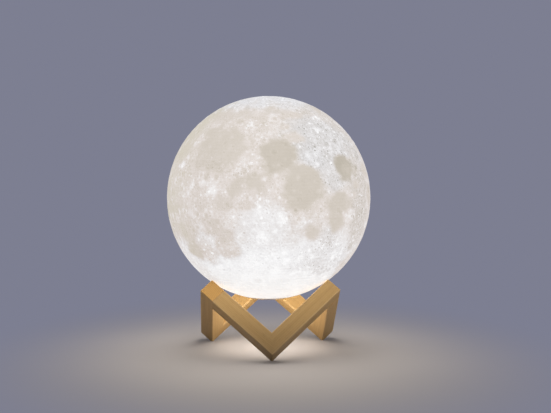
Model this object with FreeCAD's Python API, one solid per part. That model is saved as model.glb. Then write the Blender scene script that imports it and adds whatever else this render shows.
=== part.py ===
"""Moon lamp: a printed globe with a twist-in light unit, resting on a stand of three mitred wooden Vs.

Millimetres. +Z is up. The origin is on the table, under the centre of the globe. The front V faces -Y.

The stand follows the edges of a cube that stands on one corner. Its three Vs are alike, each lies in
one face of the cube, and each meets its neighbours at right angles. One V is therefore drawn square to
the cube's own axes, then turned upright and repeated every 120 degrees.
"""

import FreeCAD
import Part
import math
import os

from FreeCAD import Vector

# ---------------------------------------------------------------- stand
arm_length = 72.0               # outer edge of a V, from its foot to the end of its long arm
bar_width = 12.4                # across a bar, in the plane of its V
bar_thickness = 12.4            # through a bar, square to its V
bar_edge_round = 0.7            # eased edges of the bars
foot_flat = 1.0                 # height taken off each foot's point, so that it stands on a small flat
corner_dowel_diameter = 5.0
corner_dowel_length = 15.0
corner_dowel_in_side = 6.5      # how deep the dowel goes into the side of the long bar
foot_dowel_diameter = 4.0
foot_dowel_length = 9.0
dowel_clearance = 0.05          # around a dowel
dowel_end_room = 0.4            # left for glue past each end of a dowel

# ---------------------------------------------------------------- globe
globe_diameter = 150.0
globe_wall = 1.6
seat_gap = 0.3                  # between the globe and the three corners that carry it

# ---------------------------------------------------------------- light unit: housing and twist lock
housing_diameter = 36.0
housing_wall = 1.6
deck_thickness = 2.0            # floor of the housing's top, under the lights
twist_clearance = 0.3           # between what turns with the globe and what doesn't
lug_count = 3
lug_reach = 1.3                 # how far a lug stands out of the housing
lug_height = 2.0
lug_angle = 14.0                # degrees that a lug covers
lug_ledge = 3.2                 # plastic of the collar that holds a lug up
lug_play_angle = 1.5            # degrees free at each end of a lug's groove
twist_angle = 35.0              # degrees from locked to free
collar_wall = 1.3               # outside the groove
collar_height = 8.5
collar_flange_reach = 4.5       # glued to the inside of the globe, outside the collar
collar_flange_height = 4.0      # over the rim of the globe's opening
glue_gap = 0.1                  # between the globe and the collar

# ---------------------------------------------------------------- cap in the globe's opening
# Its underside is crowned like the globe, so that it carries on the globe's outline.
spigot_height = 2.0             # of the cap, inside the housing
spigot_clearance = 0.2
grip_notch_diameter = 3.6       # two notches in the cap's edge, to turn it by
grip_notch_inset = 0.6          # from the cap's edge to the middle of a notch
touch_ring_width = 5.2
touch_ring_proud = 0.35         # below the cap
touch_ring_rim = 1.0            # thickness of the ring at its thin outer edge
touch_ring_clearance = 0.1
screw_count = 3
screw_shank_diameter = 2.0
screw_head_diameter = 3.6
screw_head_height = 1.3
screw_length = 8.0
screw_clearance = 0.1
screw_from_bore = 1.8           # from the housing's bore to the axis of a screw
screw_boss_diameter = 4.8
screw_boss_over_board = 2.0     # height of the bosses over the control board

# ---------------------------------------------------------------- charging socket and control board
socket_width = 9.0
socket_height = 3.3
socket_wall = 0.3
socket_depth = 7.3
socket_recess = 0.2             # its mouth lies this far inside the cap's lowest point
socket_clearance = 0.2
socket_back = 1.5               # insulator at its closed end
tongue_width = 6.6
tongue_thickness = 0.7
tongue_length = 4.6
board_thickness = 1.2
board_clearance = 0.3           # between the board and the housing
board_ledge_thickness = 1.0     # of the housing, on which the board bears
board_ledge_width = 1.5
board_post_diameter = 3.0       # of the cap, under the board
board_post_radius = 10.5        # from the axis to a post
indicator_radius = 8.0          # from the axis to the charge indicator
indicator_diameter = 2.4
indicator_led_size = 1.6
indicator_led_height = 0.7
indicator_gap = 0.2             # between the light pipe and its light
contact_barrel_diameter = 2.6
contact_barrel_length = 3.4
contact_plunger_diameter = 1.5
contact_hole_diameter = 3.2
chip_size = 5.0
chip_height = 1.2
chip_spread = 5.2               # from the axis to a chip's middle
inductor_diameter = 6.0
inductor_height = 3.2
connector_width = 6.0
connector_depth = 4.2
connector_height = 4.0

# ---------------------------------------------------------------- battery
component_room = 8.0            # between the control board and the battery
battery_width = 25.0
battery_depth = 11.0
battery_height = 28.0
battery_round = 1.6
battery_head_room = 2.0
cushion_width = 18.0
cushion_height = 22.0
cushion_gap = 0.05
lead_diameter = 1.2
lead_spread = 1.6               # from the middle of the connector to a battery lead

# ---------------------------------------------------------------- lights
led_board_clearance = 0.4
led_board_thickness = 1.6
led_count = 8
led_ring_radius = 9.6
led_inner_count = 4
led_inner_radius = 3.9
led_width = 3.5
led_depth = 2.8
led_height = 0.8
led_screw_radius = 11.6         # from the axis to each screw of the light board
led_screw_length = 6.0
led_boss_height = 4.0           # under the deck
led_lead_inset = 1.3            # from the light board's edge to the axis of each lead
led_lead_over = 0.8             # of a lead, over the light board
led_lead_clearance = 0.3
dome_rim_wall = 0.9             # of the housing, round the dome's skirt
dome_rim_height = 2.6
dome_clearance = 0.1
dome_wall = 1.4
dome_skirt_height = 5.0

# ---------------------------------------------------------------- worked out: stand
corner_inset = arm_length - bar_thickness      # from the cube's far face to a V's inner face
root3 = math.sqrt(3.0)
root2 = math.sqrt(2.0)
stand_drop = corner_inset / root3 + foot_flat  # height of the cut foot over the cube's lowest corner

# ---------------------------------------------------------------- worked out: where the globe rests
# It touches the three upper, outer corners of the long bars. Such a corner is rounded, so its middle lies
# one rounding inside. The globe's centre is at (along, along, along) on the cube's own axes.
globe_radius = globe_diameter / 2
corner_high = arm_length - bar_edge_round
corner_low = bar_width - bar_edge_round
seat_reach = globe_radius + seat_gap + bar_edge_round
seat_sum = 2 * corner_high + corner_low
seat_squares = 2 * corner_high ** 2 + corner_low ** 2
along = (seat_sum + math.sqrt(seat_sum ** 2 - 3 * (seat_squares - seat_reach ** 2))) / 3
globe_z = along * root3 - stand_drop

# ---------------------------------------------------------------- worked out: radii of the light unit
globe_inner_radius = globe_radius - globe_wall
housing_radius = housing_diameter / 2
housing_bore = housing_radius - housing_wall
collar_bore = housing_radius + twist_clearance
lug_radius = housing_radius + lug_reach
groove_radius = lug_radius + twist_clearance
collar_radius = groove_radius + collar_wall
opening_radius = collar_radius + glue_gap
cap_radius = opening_radius - twist_clearance
spigot_radius = housing_bore - spigot_clearance
screw_circle = housing_bore - screw_from_bore
touch_ring_inner = screw_circle - touch_ring_width / 2
touch_ring_outer = screw_circle + touch_ring_width / 2
contact_radius = touch_ring_inner + touch_ring_clearance + contact_hole_diameter / 2
dome_radius = housing_radius - dome_rim_wall - dome_clearance
led_board_radius = dome_radius - dome_wall - led_board_clearance
led_lead_radius = led_board_radius - led_lead_inset

# ---------------------------------------------------------------- worked out: heights of the light unit
rim_z = globe_z - math.sqrt(globe_inner_radius ** 2 - opening_radius ** 2)
cap_top_z = rim_z - twist_clearance
cap_bottom_z = globe_z - globe_radius
spigot_top_z = cap_top_z + spigot_height
touch_sphere_radius = globe_radius + touch_ring_proud
touch_ring_top_z = globe_z - math.sqrt(touch_sphere_radius ** 2 - touch_ring_outer ** 2) + touch_ring_rim
touch_groove_z = touch_ring_top_z + touch_ring_clearance
screw_seat_z = touch_groove_z + screw_head_height + screw_clearance
socket_mouth_z = cap_bottom_z + socket_recess
board_bottom_z = socket_mouth_z + socket_depth
board_top_z = board_bottom_z + board_thickness
screw_boss_top_z = board_top_z + screw_boss_over_board
battery_bottom_z = board_top_z + component_room
battery_top_z = battery_bottom_z + battery_height
deck_bottom_z = battery_top_z + battery_head_room
deck_top_z = deck_bottom_z + deck_thickness
led_board_top_z = deck_top_z + led_board_thickness
dome_shoulder_z = deck_top_z + dome_skirt_height
lug_bottom_z = rim_z + lug_ledge
lug_top_z = lug_bottom_z + lug_height

# ---------------------------------------------------------------- directions round the axis, in degrees
full_turn = 360.0
screw_start = 30.0
post_start = 90.0
contact_direction = 110.0
indicator_direction = 270.0
led_lead_direction = -35.0      # clear of the cell's cushions and of the cap's screws
lug_start = 0.0
overcut = 1.0                   # how far a cutting tool runs past what it cuts


def turned(radius, degrees):
    """Returns the x and y of a point at that radius and direction round the axis."""
    return radius * math.cos(math.radians(degrees)), radius * math.sin(math.radians(degrees))


def around(count, start):
    """Returns count directions, evenly spaced, the first at start."""
    return [start + full_turn * i / count for i in range(count)]


def disc(radius, low, high, x=0.0, y=0.0):
    """Returns an upright cylinder from height low to height high."""
    return Part.makeCylinder(radius, high - low, Vector(x, y, low))


def ring(outer, inner, low, high):
    """Returns an upright tube on the axis."""
    return disc(outer, low, high).cut(disc(inner, low - overcut, high + overcut))


def sector(outer, inner, low, high, start, sweep):
    """Returns a piece of an upright tube, from direction start over sweep degrees."""
    wedge = Part.makeCylinder(outer, high - low, Vector(0, 0, low), Vector(0, 0, 1), sweep)
    wedge.rotate(Vector(0, 0, 0), Vector(0, 0, 1), start)
    return wedge.cut(disc(inner, low - overcut, high + overcut))


def block(width, depth, low, high, x=0.0, y=0.0):
    """Returns an upright box whose middle is at x and y."""
    return Part.makeBox(width, depth, high - low, Vector(x - width / 2, y - depth / 2, low))


def slot(width, depth, low, high):
    """Returns an upright bar with half-round ends, as long in X as width."""
    end = (width - depth) / 2
    body = block(width - depth, depth, low, high)
    return body.fuse([disc(depth / 2, low, high, -end), disc(depth / 2, low, high, end)]).removeSplitter()


def union(first, others):
    """Returns one solid from several that touch or overlap."""
    return first.fuse(others).removeSplitter()


def edges_where(shape, test):
    """Returns the edges whose two ends both pass the test."""
    return [e for e in shape.Edges if all(test(v.Point) for v in e.Vertexes)]


def near(value, wanted):
    """Says whether a coordinate is the wanted one."""
    return abs(value - wanted) < 1e-6


# ---------------------------------------------------------------- stand, on the cube's own axes
def eased_bar(box, along_axis, end_at):
    """Rounds a square bar's four long edges and, if end_at is a number, the edges of that end."""

    def runs_along(edge):
        direction = edge.Vertexes[1].Point - edge.Vertexes[0].Point
        return abs(abs(direction[along_axis]) - direction.Length) < 1e-6

    chosen = [e for e in box.Edges if runs_along(e)]
    if end_at is not None:
        chosen += edges_where(box, lambda p: near(p[along_axis], end_at))
    return box.makeFillet(bar_edge_round, chosen)


def mitre_side(points):
    """Returns a wedge that takes away what lies past the mitre plane, where y equals z."""
    outline = Part.makePolygon([Vector(corner_inset - overcut, y, z) for y, z in points + points[:1]])
    return Part.Face(outline).extrude(Vector(bar_thickness + 2 * overcut, 0, 0))


def dowel(diameter, length, start, direction, clearance=0.0, room=0.0):
    """Returns a dowel, or its hole if it is given a clearance and room at its ends."""
    unit = Vector(direction).normalize()
    return Part.makeCylinder(diameter / 2 + clearance, length + 2 * room, start - unit * room, unit)


def corner_dowel(hole=False):
    """Returns the dowel in the end of the short bar, or its hole."""
    start = Vector(arm_length - bar_thickness / 2, bar_width / 2,
                   corner_inset + corner_dowel_in_side - corner_dowel_length)
    extra = (dowel_clearance, dowel_end_room) if hole else (0.0, 0.0)
    return dowel(corner_dowel_diameter, corner_dowel_length, start, (0, 0, 1), *extra)


def next_v(shape):
    """Returns a copy that belongs to the next V: the cube's axes x, y and z become y, z and x."""
    copy = shape.copy()
    copy.rotate(Vector(0, 0, 0), Vector(1, 1, 1), 120)
    return copy


def foot_dowel(hole=False):
    """Returns the dowel across the mitre, or its hole."""
    half = foot_dowel_length / 2 / root2
    middle = bar_width / 2
    start = Vector(arm_length - bar_thickness / 2, middle - half, middle + half)
    extra = (dowel_clearance, dowel_end_room) if hole else (0.0, 0.0)
    return dowel(foot_dowel_diameter, foot_dowel_length, start, (0, 1, -1), *extra)


def long_bar():
    """Returns a V's long bar, which runs along y past the end of the next V's short bar."""
    back = Vector(corner_inset, -bar_width, 0)
    bar = Part.makeBox(bar_thickness, arm_length + bar_width, bar_width, back)
    bar = eased_bar(bar, 1, arm_length)
    far = 2 * arm_length
    bar = bar.cut(mitre_side([(-far, -far), (far, far), (-far, far)]))
    return bar.cut([next_v(corner_dowel(hole=True)), foot_dowel(hole=True)])


def short_bar():
    """Returns a V's short bar, which runs along z and butts against the side of another V's long bar."""
    back = Vector(corner_inset, 0, -bar_width)
    bar = Part.makeBox(bar_thickness, bar_width, corner_inset + bar_width, back)
    bar = eased_bar(bar, 2, None)
    far = 2 * arm_length
    bar = bar.cut(mitre_side([(-far, -far), (far, far), (far, -far)]))
    return bar.cut([corner_dowel(hole=True), foot_dowel(hole=True)])


def stand_up(shape, turn):
    """Takes a shape from the cube's own axes to the table, turned about the vertical.

    The cube's x, y and z axes go to the front V's outward, right-hand and left-hand directions.
    """
    low, high = 1 / root3, math.sqrt(2.0 / 3.0)
    side, back = 1 / root2, high / 2
    upright = FreeCAD.Matrix(0, side, -side, 0,
                             -high, back, back, 0,
                             low, low, low, -stand_drop,
                             0, 0, 0, 1)
    placed = shape.copy()
    placed.Placement = FreeCAD.Placement(upright).multiply(placed.Placement)
    placed.rotate(Vector(0, 0, 0), Vector(0, 0, 1), turn)
    return placed


def on_the_table(shape):
    """Cuts off what would reach below the table."""
    size = 4 * arm_length
    return shape.cut(block(size, size, -size, 0.0))


def stand_parts():
    """Returns the stand's bars and dowels by name."""
    made = {}
    for name, turn in (("front", 0), ("right", 120), ("left", 240)):
        made[name + "_long_bar"] = on_the_table(stand_up(long_bar(), turn))
        made[name + "_short_bar"] = on_the_table(stand_up(short_bar(), turn))
        made[name + "_foot_dowel"] = stand_up(foot_dowel(), turn)
    for name, turn in (("front_left", 0), ("front_right", 120), ("back", 240)):
        made[name + "_corner_dowel"] = stand_up(corner_dowel(), turn)
    return made


# ---------------------------------------------------------------- globe
def moon_globe():
    """Returns the printed shell, open at its foot for the collar."""
    centre = Vector(0, 0, globe_z)
    shell = Part.makeSphere(globe_radius, centre, Vector(0, 0, 1)).cut(
        Part.makeSphere(globe_inner_radius, centre, Vector(0, 0, 1)))
    return shell.cut(disc(opening_radius, globe_z - globe_diameter, globe_z))


def within_globe(shape, radius):
    """Returns what lies inside a sphere of that radius about the globe's centre."""
    return shape.common(Part.makeSphere(radius, Vector(0, 0, globe_z), Vector(0, 0, 1)))


def globe_collar():
    """Returns the ring glued into the opening, with the grooves of the twist lock."""
    tube = ring(collar_radius, collar_bore, rim_z, rim_z + collar_height)
    flange = ring(collar_radius + collar_flange_reach, collar_bore, rim_z, rim_z + collar_flange_height)
    collar = union(tube, [within_globe(flange, globe_inner_radius - glue_gap)])
    for lug in around(lug_count, lug_start):
        first = lug - twist_angle - lug_angle / 2 - lug_play_angle
        width = lug_angle + 2 * lug_play_angle
        groove = sector(groove_radius, collar_bore - overcut, lug_bottom_z - twist_clearance,
                        lug_top_z + twist_clearance, first, twist_angle + width)
        entry = sector(groove_radius, collar_bore - overcut, rim_z - overcut,
                       lug_top_z, first, width)
        collar = collar.cut([groove, entry])
    return collar


# ---------------------------------------------------------------- light unit
def screw_places():
    """Returns the x and y of each screw of the cap."""
    return [turned(screw_circle, d) for d in around(screw_count, screw_start)]


def led_lead_places():
    """Returns the x and y of the two leads of the light board."""
    return [turned(led_lead_radius, d) for d in (led_lead_direction, full_turn / 2 - led_lead_direction)]


def base_cap():
    """Returns the cap: crowned flange, spigot, posts, and the way in for each thing that shows through it."""
    flange = within_globe(disc(cap_radius, cap_bottom_z - overcut, cap_top_z), globe_radius)
    spigot = disc(spigot_radius, cap_top_z, spigot_top_z)
    posts = [disc(board_post_diameter / 2, cap_top_z, board_bottom_z, *turned(board_post_radius, d))
             for d in around(screw_count, post_start)]
    cap = union(flange, [spigot] + posts)
    groove = ring(touch_ring_outer + touch_ring_clearance, touch_ring_inner - touch_ring_clearance,
                  cap_bottom_z - overcut, touch_groove_z)
    tools = [groove]
    for x, y in screw_places():
        head = screw_head_diameter / 2 + screw_clearance
        shank = screw_shank_diameter / 2 + screw_clearance
        tools.append(disc(head, touch_groove_z - overcut, screw_seat_z, x, y))
        tools.append(disc(shank, screw_seat_z - overcut, spigot_top_z + overcut, x, y))
    tools.append(slot(socket_width + 2 * socket_clearance, socket_height + 2 * socket_clearance,
                      cap_bottom_z - overcut, spigot_top_z + overcut))
    tools.append(disc(indicator_diameter / 2, cap_bottom_z - overcut, spigot_top_z + overcut,
                      *turned(indicator_radius, indicator_direction)))
    tools.append(disc(contact_hole_diameter / 2, touch_groove_z - overcut, spigot_top_z + overcut,
                      *turned(contact_radius, contact_direction)))
    for side in (1, -1):
        tools.append(disc(grip_notch_diameter / 2, cap_bottom_z - overcut, cap_top_z + overcut,
                          side * (cap_radius - grip_notch_inset)))
    return cap.cut(tools)


def touch_ring():
    """Returns the metal ring that senses a touch."""
    body = ring(touch_ring_outer, touch_ring_inner, cap_bottom_z - overcut, touch_ring_top_z)
    return within_globe(body, touch_sphere_radius)


def screw(x, y, seat, length, head_up):
    """Returns a small round-headed screw whose head bears on the seat."""
    way = 1 if head_up else -1
    head_low, head_high = sorted((seat, seat + way * screw_head_height))
    shank_low, shank_high = sorted((seat, seat - way * length))
    head = disc(screw_head_diameter / 2, head_low, head_high, x, y)
    return union(head, [disc(screw_shank_diameter / 2, shank_low, shank_high, x, y)])


def cap_screws():
    """Returns the screws that hold the cap to the housing."""
    return [screw(x, y, screw_seat_z, screw_length, False) for x, y in screw_places()]


def light_housing():
    """Returns the tube that holds everything, with its deck, bosses, ledge, lugs and rim for the dome."""
    tube = disc(housing_radius, cap_top_z, deck_top_z + dome_rim_height)
    bore = disc(housing_bore, cap_top_z - overcut, deck_bottom_z)
    well = disc(dome_radius + dome_clearance, deck_top_z, deck_top_z + dome_rim_height + overcut)
    body = tube.cut([bore, well])
    added = [ring(housing_bore + housing_wall / 2, housing_bore - board_ledge_width,
                  board_top_z, board_top_z + board_ledge_thickness)]
    limit = disc(housing_radius, cap_top_z, deck_top_z)
    for x, y in screw_places():
        added.append(disc(screw_boss_diameter / 2, spigot_top_z, screw_boss_top_z, x, y).common(limit))
    for lug in around(lug_count, lug_start):
        added.append(sector(lug_radius, housing_bore + housing_wall / 2, lug_bottom_z, lug_top_z,
                            lug - lug_angle / 2, lug_angle))
    for side in (1, -1):
        added.append(disc(screw_boss_diameter / 2, deck_bottom_z - led_boss_height, deck_bottom_z + overcut,
                          0, side * led_screw_radius))
    body = union(body, added)
    tools = []
    for x, y in screw_places():
        tip = screw_seat_z + screw_length
        tools.append(disc(screw_shank_diameter / 2, cap_top_z, tip + screw_clearance, x, y))
    for side in (1, -1):
        tip = led_board_top_z - led_screw_length
        tools.append(disc(screw_shank_diameter / 2, tip - screw_clearance, deck_top_z + overcut,
                          0, side * led_screw_radius))
    for x, y in led_lead_places():
        tools.append(disc(lead_diameter / 2 + led_lead_clearance, board_top_z, deck_top_z + overcut, x, y))
    return body.cut(tools)


def socket_shell():
    """Returns the metal tube of the charging socket."""
    outer = slot(socket_width, socket_height, socket_mouth_z, board_bottom_z)
    inner = slot(socket_width - 2 * socket_wall, socket_height - 2 * socket_wall,
                 socket_mouth_z - overcut, board_bottom_z + overcut)
    return outer.cut(inner)


def socket_tongue():
    """Returns the insulator at the socket's closed end, with the tongue that carries its contacts."""
    back = slot(socket_width - 2 * socket_wall, socket_height - 2 * socket_wall,
                board_bottom_z - socket_back, board_bottom_z)
    tip_z = board_bottom_z - socket_back - tongue_length
    blade = block(tongue_width, tongue_thickness, tip_z, board_bottom_z)
    return union(back, [blade])


def control_board():
    """Returns the round board, notched for the bosses and drilled for the leads."""
    board = disc(housing_bore - board_clearance, board_bottom_z, board_top_z)
    notch = screw_boss_diameter / 2 + board_clearance
    tools = [disc(notch, board_bottom_z - overcut, board_top_z + overcut, x, y) for x, y in screw_places()]
    return board.cut(tools)


def light_pipe():
    """Returns the clear rod that shows the charge light under the lamp."""
    top = board_bottom_z - indicator_led_height - indicator_gap
    x, y = turned(indicator_radius, indicator_direction)
    rod = disc(indicator_diameter / 2, cap_bottom_z - overcut, top, x, y)
    return within_globe(rod, globe_radius)


def indicator_led():
    """Returns the charge light, under the control board."""
    return block(indicator_led_size, indicator_led_size, board_bottom_z - indicator_led_height,
                 board_bottom_z, *turned(indicator_radius, indicator_direction))


def contact_barrel():
    """Returns the body of the sprung contact that reaches the touch ring."""
    x, y = turned(contact_radius, contact_direction)
    barrel = disc(contact_barrel_diameter / 2, board_bottom_z - contact_barrel_length, board_bottom_z, x, y)
    return barrel.cut(disc(contact_plunger_diameter / 2, board_bottom_z - contact_barrel_length - overcut,
                           board_bottom_z - board_thickness, x, y))


def contact_plunger():
    """Returns the pin that bears on the back of the touch ring."""
    x, y = turned(contact_radius, contact_direction)
    return disc(contact_plunger_diameter / 2, touch_ring_top_z + touch_ring_clearance,
                board_bottom_z - board_thickness, x, y)


def control_chips():
    """Returns the two chips on the control board."""
    top = board_top_z + chip_height
    return [block(chip_size, chip_size, board_top_z, top, side * chip_spread, -chip_spread)
            for side in (1, -1)]


def power_inductor():
    """Returns the round inductor on the control board."""
    return disc(inductor_diameter / 2, board_top_z, board_top_z + inductor_height, -chip_spread, chip_spread)


def battery_connector():
    """Returns the connector on the control board, where the battery's leads plug in."""
    return block(connector_width, connector_depth, board_top_z, board_top_z + connector_height,
                 chip_spread, chip_spread)


def battery_cell():
    """Returns the flat rechargeable cell."""
    cell = block(battery_width, battery_depth, battery_bottom_z, battery_top_z)
    return cell.makeFillet(battery_round, cell.Edges)


def battery_cushions():
    """Returns the two foam pads that wedge the cell in the housing."""
    middle = (battery_bottom_z + battery_top_z) / 2
    low, high = middle - cushion_height / 2, middle + cushion_height / 2
    face = battery_depth / 2 + cushion_gap
    room = disc(housing_bore - cushion_gap, low, high)
    pads = []
    for side in (1, -1):
        pad = block(cushion_width, housing_bore, low, high, 0, side * (face + housing_bore / 2))
        pads.append(pad.common(room))
    return pads


def battery_lead(side):
    """Returns one lead of the cell, from its underside down into the connector."""
    top = Vector(side * lead_spread + chip_spread / 2, 0, battery_bottom_z)
    foot = Vector(chip_spread + side * lead_spread, chip_spread, board_top_z + connector_height)
    drop = (top.z - foot.z) / 3
    upper, lower = Vector(top.x, top.y, top.z - drop), Vector(foot.x, foot.y, foot.z + drop)
    path = filleted_path([top, upper, lower, foot], lead_diameter)
    profile = Part.Wire(Part.Circle(top, Vector(0, 0, 1), lead_diameter / 2).toShape())
    return path.makePipeShell([profile], True, False)


def filleted_path(points, radius):
    """Returns a wire of straight runs joined by arcs that touch both runs."""
    edges, at = [], points[0]
    for before, corner, after in zip(points, points[1:], points[2:]):
        way_in = (corner - before).normalize()
        way_out = (after - corner).normalize()
        bend = way_in.getAngle(way_out)
        reach = radius * math.tan(bend / 2)
        start, end = corner - way_in * reach, corner + way_out * reach
        inward = (way_out - way_in).normalize()
        middle = corner + inward * (radius / math.cos(bend / 2) - radius)
        edges.append(Part.LineSegment(at, start).toShape())
        edges.append(Part.Arc(start, middle, end).toShape())
        at = end
    edges.append(Part.LineSegment(at, points[-1]).toShape())
    return Part.Wire(edges)


def led_board():
    """Returns the round metal-cored board on the deck."""
    board = disc(led_board_radius, deck_top_z, led_board_top_z)
    tools = []
    for side in (1, -1):
        tools.append(disc(screw_shank_diameter / 2 + screw_clearance, deck_top_z - overcut,
                          led_board_top_z + overcut, 0, side * led_screw_radius))
    for x, y in led_lead_places():
        tools.append(disc(lead_diameter / 2, deck_top_z - overcut, led_board_top_z + overcut, x, y))
    return board.cut(tools)


def led_chips():
    """Returns the lights: an outer ring and an inner ring."""
    chips = []
    for count, radius in ((led_count, led_ring_radius), (led_inner_count, led_inner_radius)):
        for direction in around(count, full_turn / count / 2):
            chip = block(led_width, led_depth, led_board_top_z, led_board_top_z + led_height, radius, 0)
            chip.rotate(Vector(0, 0, 0), Vector(0, 0, 1), direction)
            chips.append(chip)
    return chips


def led_screws():
    """Returns the two screws of the light board."""
    return [screw(0, side * led_screw_radius, led_board_top_z, led_screw_length, True) for side in (1, -1)]


def led_leads():
    """Returns the two leads that run up past the cell's corners to the light board."""
    return [disc(lead_diameter / 2, board_top_z, led_board_top_z + led_lead_over, x, y)
            for x, y in led_lead_places()]


def diffuser_dome():
    """Returns the frosted dome over the lights."""
    inner = dome_radius - dome_wall
    centre = Vector(0, 0, dome_shoulder_z)
    outside = union(disc(dome_radius, deck_top_z, dome_shoulder_z),
                    [Part.makeSphere(dome_radius, centre, Vector(0, 0, 1), 0, 90, 360)])
    inside = union(disc(inner, deck_top_z - overcut, dome_shoulder_z),
                   [Part.makeSphere(inner, centre, Vector(0, 0, 1), 0, 90, 360)])
    return outside.cut(inside)


def light_unit_parts():
    """Returns the pieces of the globe and the light unit by name."""
    return {
        "moon_globe": moon_globe(),
        "globe_collar": globe_collar(),
        "base_cap": base_cap(),
        "touch_ring": touch_ring(),
        "cap_screws": cap_screws(),
        "light_housing": light_housing(),
        "socket_shell": socket_shell(),
        "socket_tongue": socket_tongue(),
        "control_board": control_board(),
        "light_pipe": light_pipe(),
        "indicator_led": indicator_led(),
        "contact_barrel": contact_barrel(),
        "contact_plunger": contact_plunger(),
        "control_chips": control_chips(),
        "power_inductor": power_inductor(),
        "battery_connector": battery_connector(),
        "battery_cell": battery_cell(),
        "battery_cushions": battery_cushions(),
        "battery_lead_plus": battery_lead(1),
        "battery_lead_minus": battery_lead(-1),
        "led_board": led_board(),
        "led_chips": led_chips(),
        "led_screws": led_screws(),
        "led_leads": led_leads(),
        "diffuser_dome": diffuser_dome(),
    }


def main():
    """Writes one file for each named piece."""
    os.makedirs("parts", exist_ok=True)
    made = {**stand_parts(), **light_unit_parts()}
    for name, shape in made.items():
        solids = shape if isinstance(shape, list) else shape.Solids
        whole = solids[0] if len(solids) == 1 else Part.makeCompound(solids)
        whole.exportStep("parts/" + name + ".step")
        print(name, len(solids), "solid(s)", round(sum(s.Volume for s in solids), 1), "mm3",
              "valid" if all(s.isValid() for s in solids) else "NOT VALID")
    print("globe centre", round(globe_z, 3), "globe opening radius", round(opening_radius, 3))


main()
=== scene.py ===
"""Moon lamp: a printed, glowing globe on a stand of square wooden bars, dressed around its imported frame.

Metres. +Z is up, the origin is on the table below the globe, and the front V faces -Y. The bars, the
housing and the small parts inside are the frame's own nodes, and get their finishes here. The globe is
replaced by a shell with relief: seas, craters and rays, placed by their latitude and longitude.
"""

from __future__ import annotations

import logging
import math
from dataclasses import dataclass, field
from enum import Enum
from typing import Iterable, Sequence, Union

import bpy
import numpy as np
from mathutils import Matrix, Vector, noise

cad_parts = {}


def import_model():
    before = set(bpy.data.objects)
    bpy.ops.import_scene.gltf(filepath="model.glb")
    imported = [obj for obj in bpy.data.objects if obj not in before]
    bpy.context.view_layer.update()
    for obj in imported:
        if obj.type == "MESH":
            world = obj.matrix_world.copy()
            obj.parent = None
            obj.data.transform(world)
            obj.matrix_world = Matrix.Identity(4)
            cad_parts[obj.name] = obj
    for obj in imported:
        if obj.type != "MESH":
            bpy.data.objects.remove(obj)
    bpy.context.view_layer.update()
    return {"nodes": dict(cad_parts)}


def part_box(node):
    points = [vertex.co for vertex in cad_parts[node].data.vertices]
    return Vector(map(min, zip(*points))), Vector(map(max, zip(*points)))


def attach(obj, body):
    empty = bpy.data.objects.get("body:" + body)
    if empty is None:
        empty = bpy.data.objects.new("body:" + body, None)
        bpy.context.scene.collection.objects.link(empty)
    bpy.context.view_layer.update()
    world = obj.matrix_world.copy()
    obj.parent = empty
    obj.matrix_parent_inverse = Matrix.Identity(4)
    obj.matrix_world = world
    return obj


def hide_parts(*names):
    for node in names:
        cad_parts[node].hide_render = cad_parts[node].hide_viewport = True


log = logging.getLogger("moon_lamp")

MM = 0.001
QUARTER_TURN = math.pi / 2
Colour = tuple[float, float, float]
Number = Union[float, "Value"]
Socket = bpy.types.NodeSocket
Material = bpy.types.Material
Object = bpy.types.Object
Nodes = dict[str, Object]               # the frame's nodes by name


# ---------------------------------------------------------------- node trees
class Value:
    """A number that varies over a surface or a mesh: a socket, with the sums that are done on it."""

    def __init__(self, tree: NodeTree, socket: Socket) -> None:
        """Wraps a socket of a tree."""
        self.tree = tree
        self.socket = socket

    def _math(self, operation: str, *terms: Number) -> Value:
        """Adds one Math node, from Blender's name for the sum and its terms in order."""
        return self.tree.value("ShaderNodeMath", {"operation": operation}, dict(enumerate(terms)))

    def __add__(self, other: Number) -> Value:
        """Returns the sum."""
        return self._math("ADD", self, other)

    __radd__ = __add__

    def __sub__(self, other: Number) -> Value:
        """Returns this less the other."""
        return self._math("SUBTRACT", self, other)

    def __rsub__(self, other: Number) -> Value:
        """Returns the other less this."""
        return self._math("SUBTRACT", other, self)

    def __mul__(self, other: Number) -> Value:
        """Returns the product."""
        return self._math("MULTIPLY", self, other)

    __rmul__ = __mul__

    def __truediv__(self, other: Number) -> Value:
        """Returns this divided by the other."""
        return self._math("DIVIDE", self, other)

    def __pow__(self, other: Number) -> Value:
        """Returns this to the power of the other."""
        return self._math("POWER", self, other)

    def size(self) -> Value:
        """Returns the number without its sign."""
        return self._math("ABSOLUTE", self)

    def sine(self) -> Value:
        """Returns the sine."""
        return self._math("SINE", self)

    def cosine(self) -> Value:
        """Returns the cosine."""
        return self._math("COSINE", self)

    def arcsine(self) -> Value:
        """Returns the angle with this sine, in radians."""
        return self._math("ARCSINE", self)

    def root(self) -> Value:
        """Returns the square root."""
        return self._math("SQRT", self)

    def whole(self) -> Value:
        """Returns the whole part."""
        return self._math("FLOOR", self)

    def over(self, other: Number) -> Value:
        """Returns 1 where this is more than the other, and 0 elsewhere."""
        return self._math("GREATER_THAN", self, other)

    def larger(self, other: Number) -> Value:
        """Returns whichever is more."""
        return self._math("MAXIMUM", self, other)

    def smaller(self, other: Number) -> Value:
        """Returns whichever is less."""
        return self._math("MINIMUM", self, other)

    def step(self, low: float, high: float) -> Value:
        """Rises smoothly from 0 at low to 1 at high, or falls where low is more than high."""
        return self.tree.value(
            "ShaderNodeMapRange", {"interpolation_type": "SMOOTHSTEP"},
            {"Value": self, "From Min": low, "From Max": high, "To Min": 0.0, "To Max": 1.0}, "Result")


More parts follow.
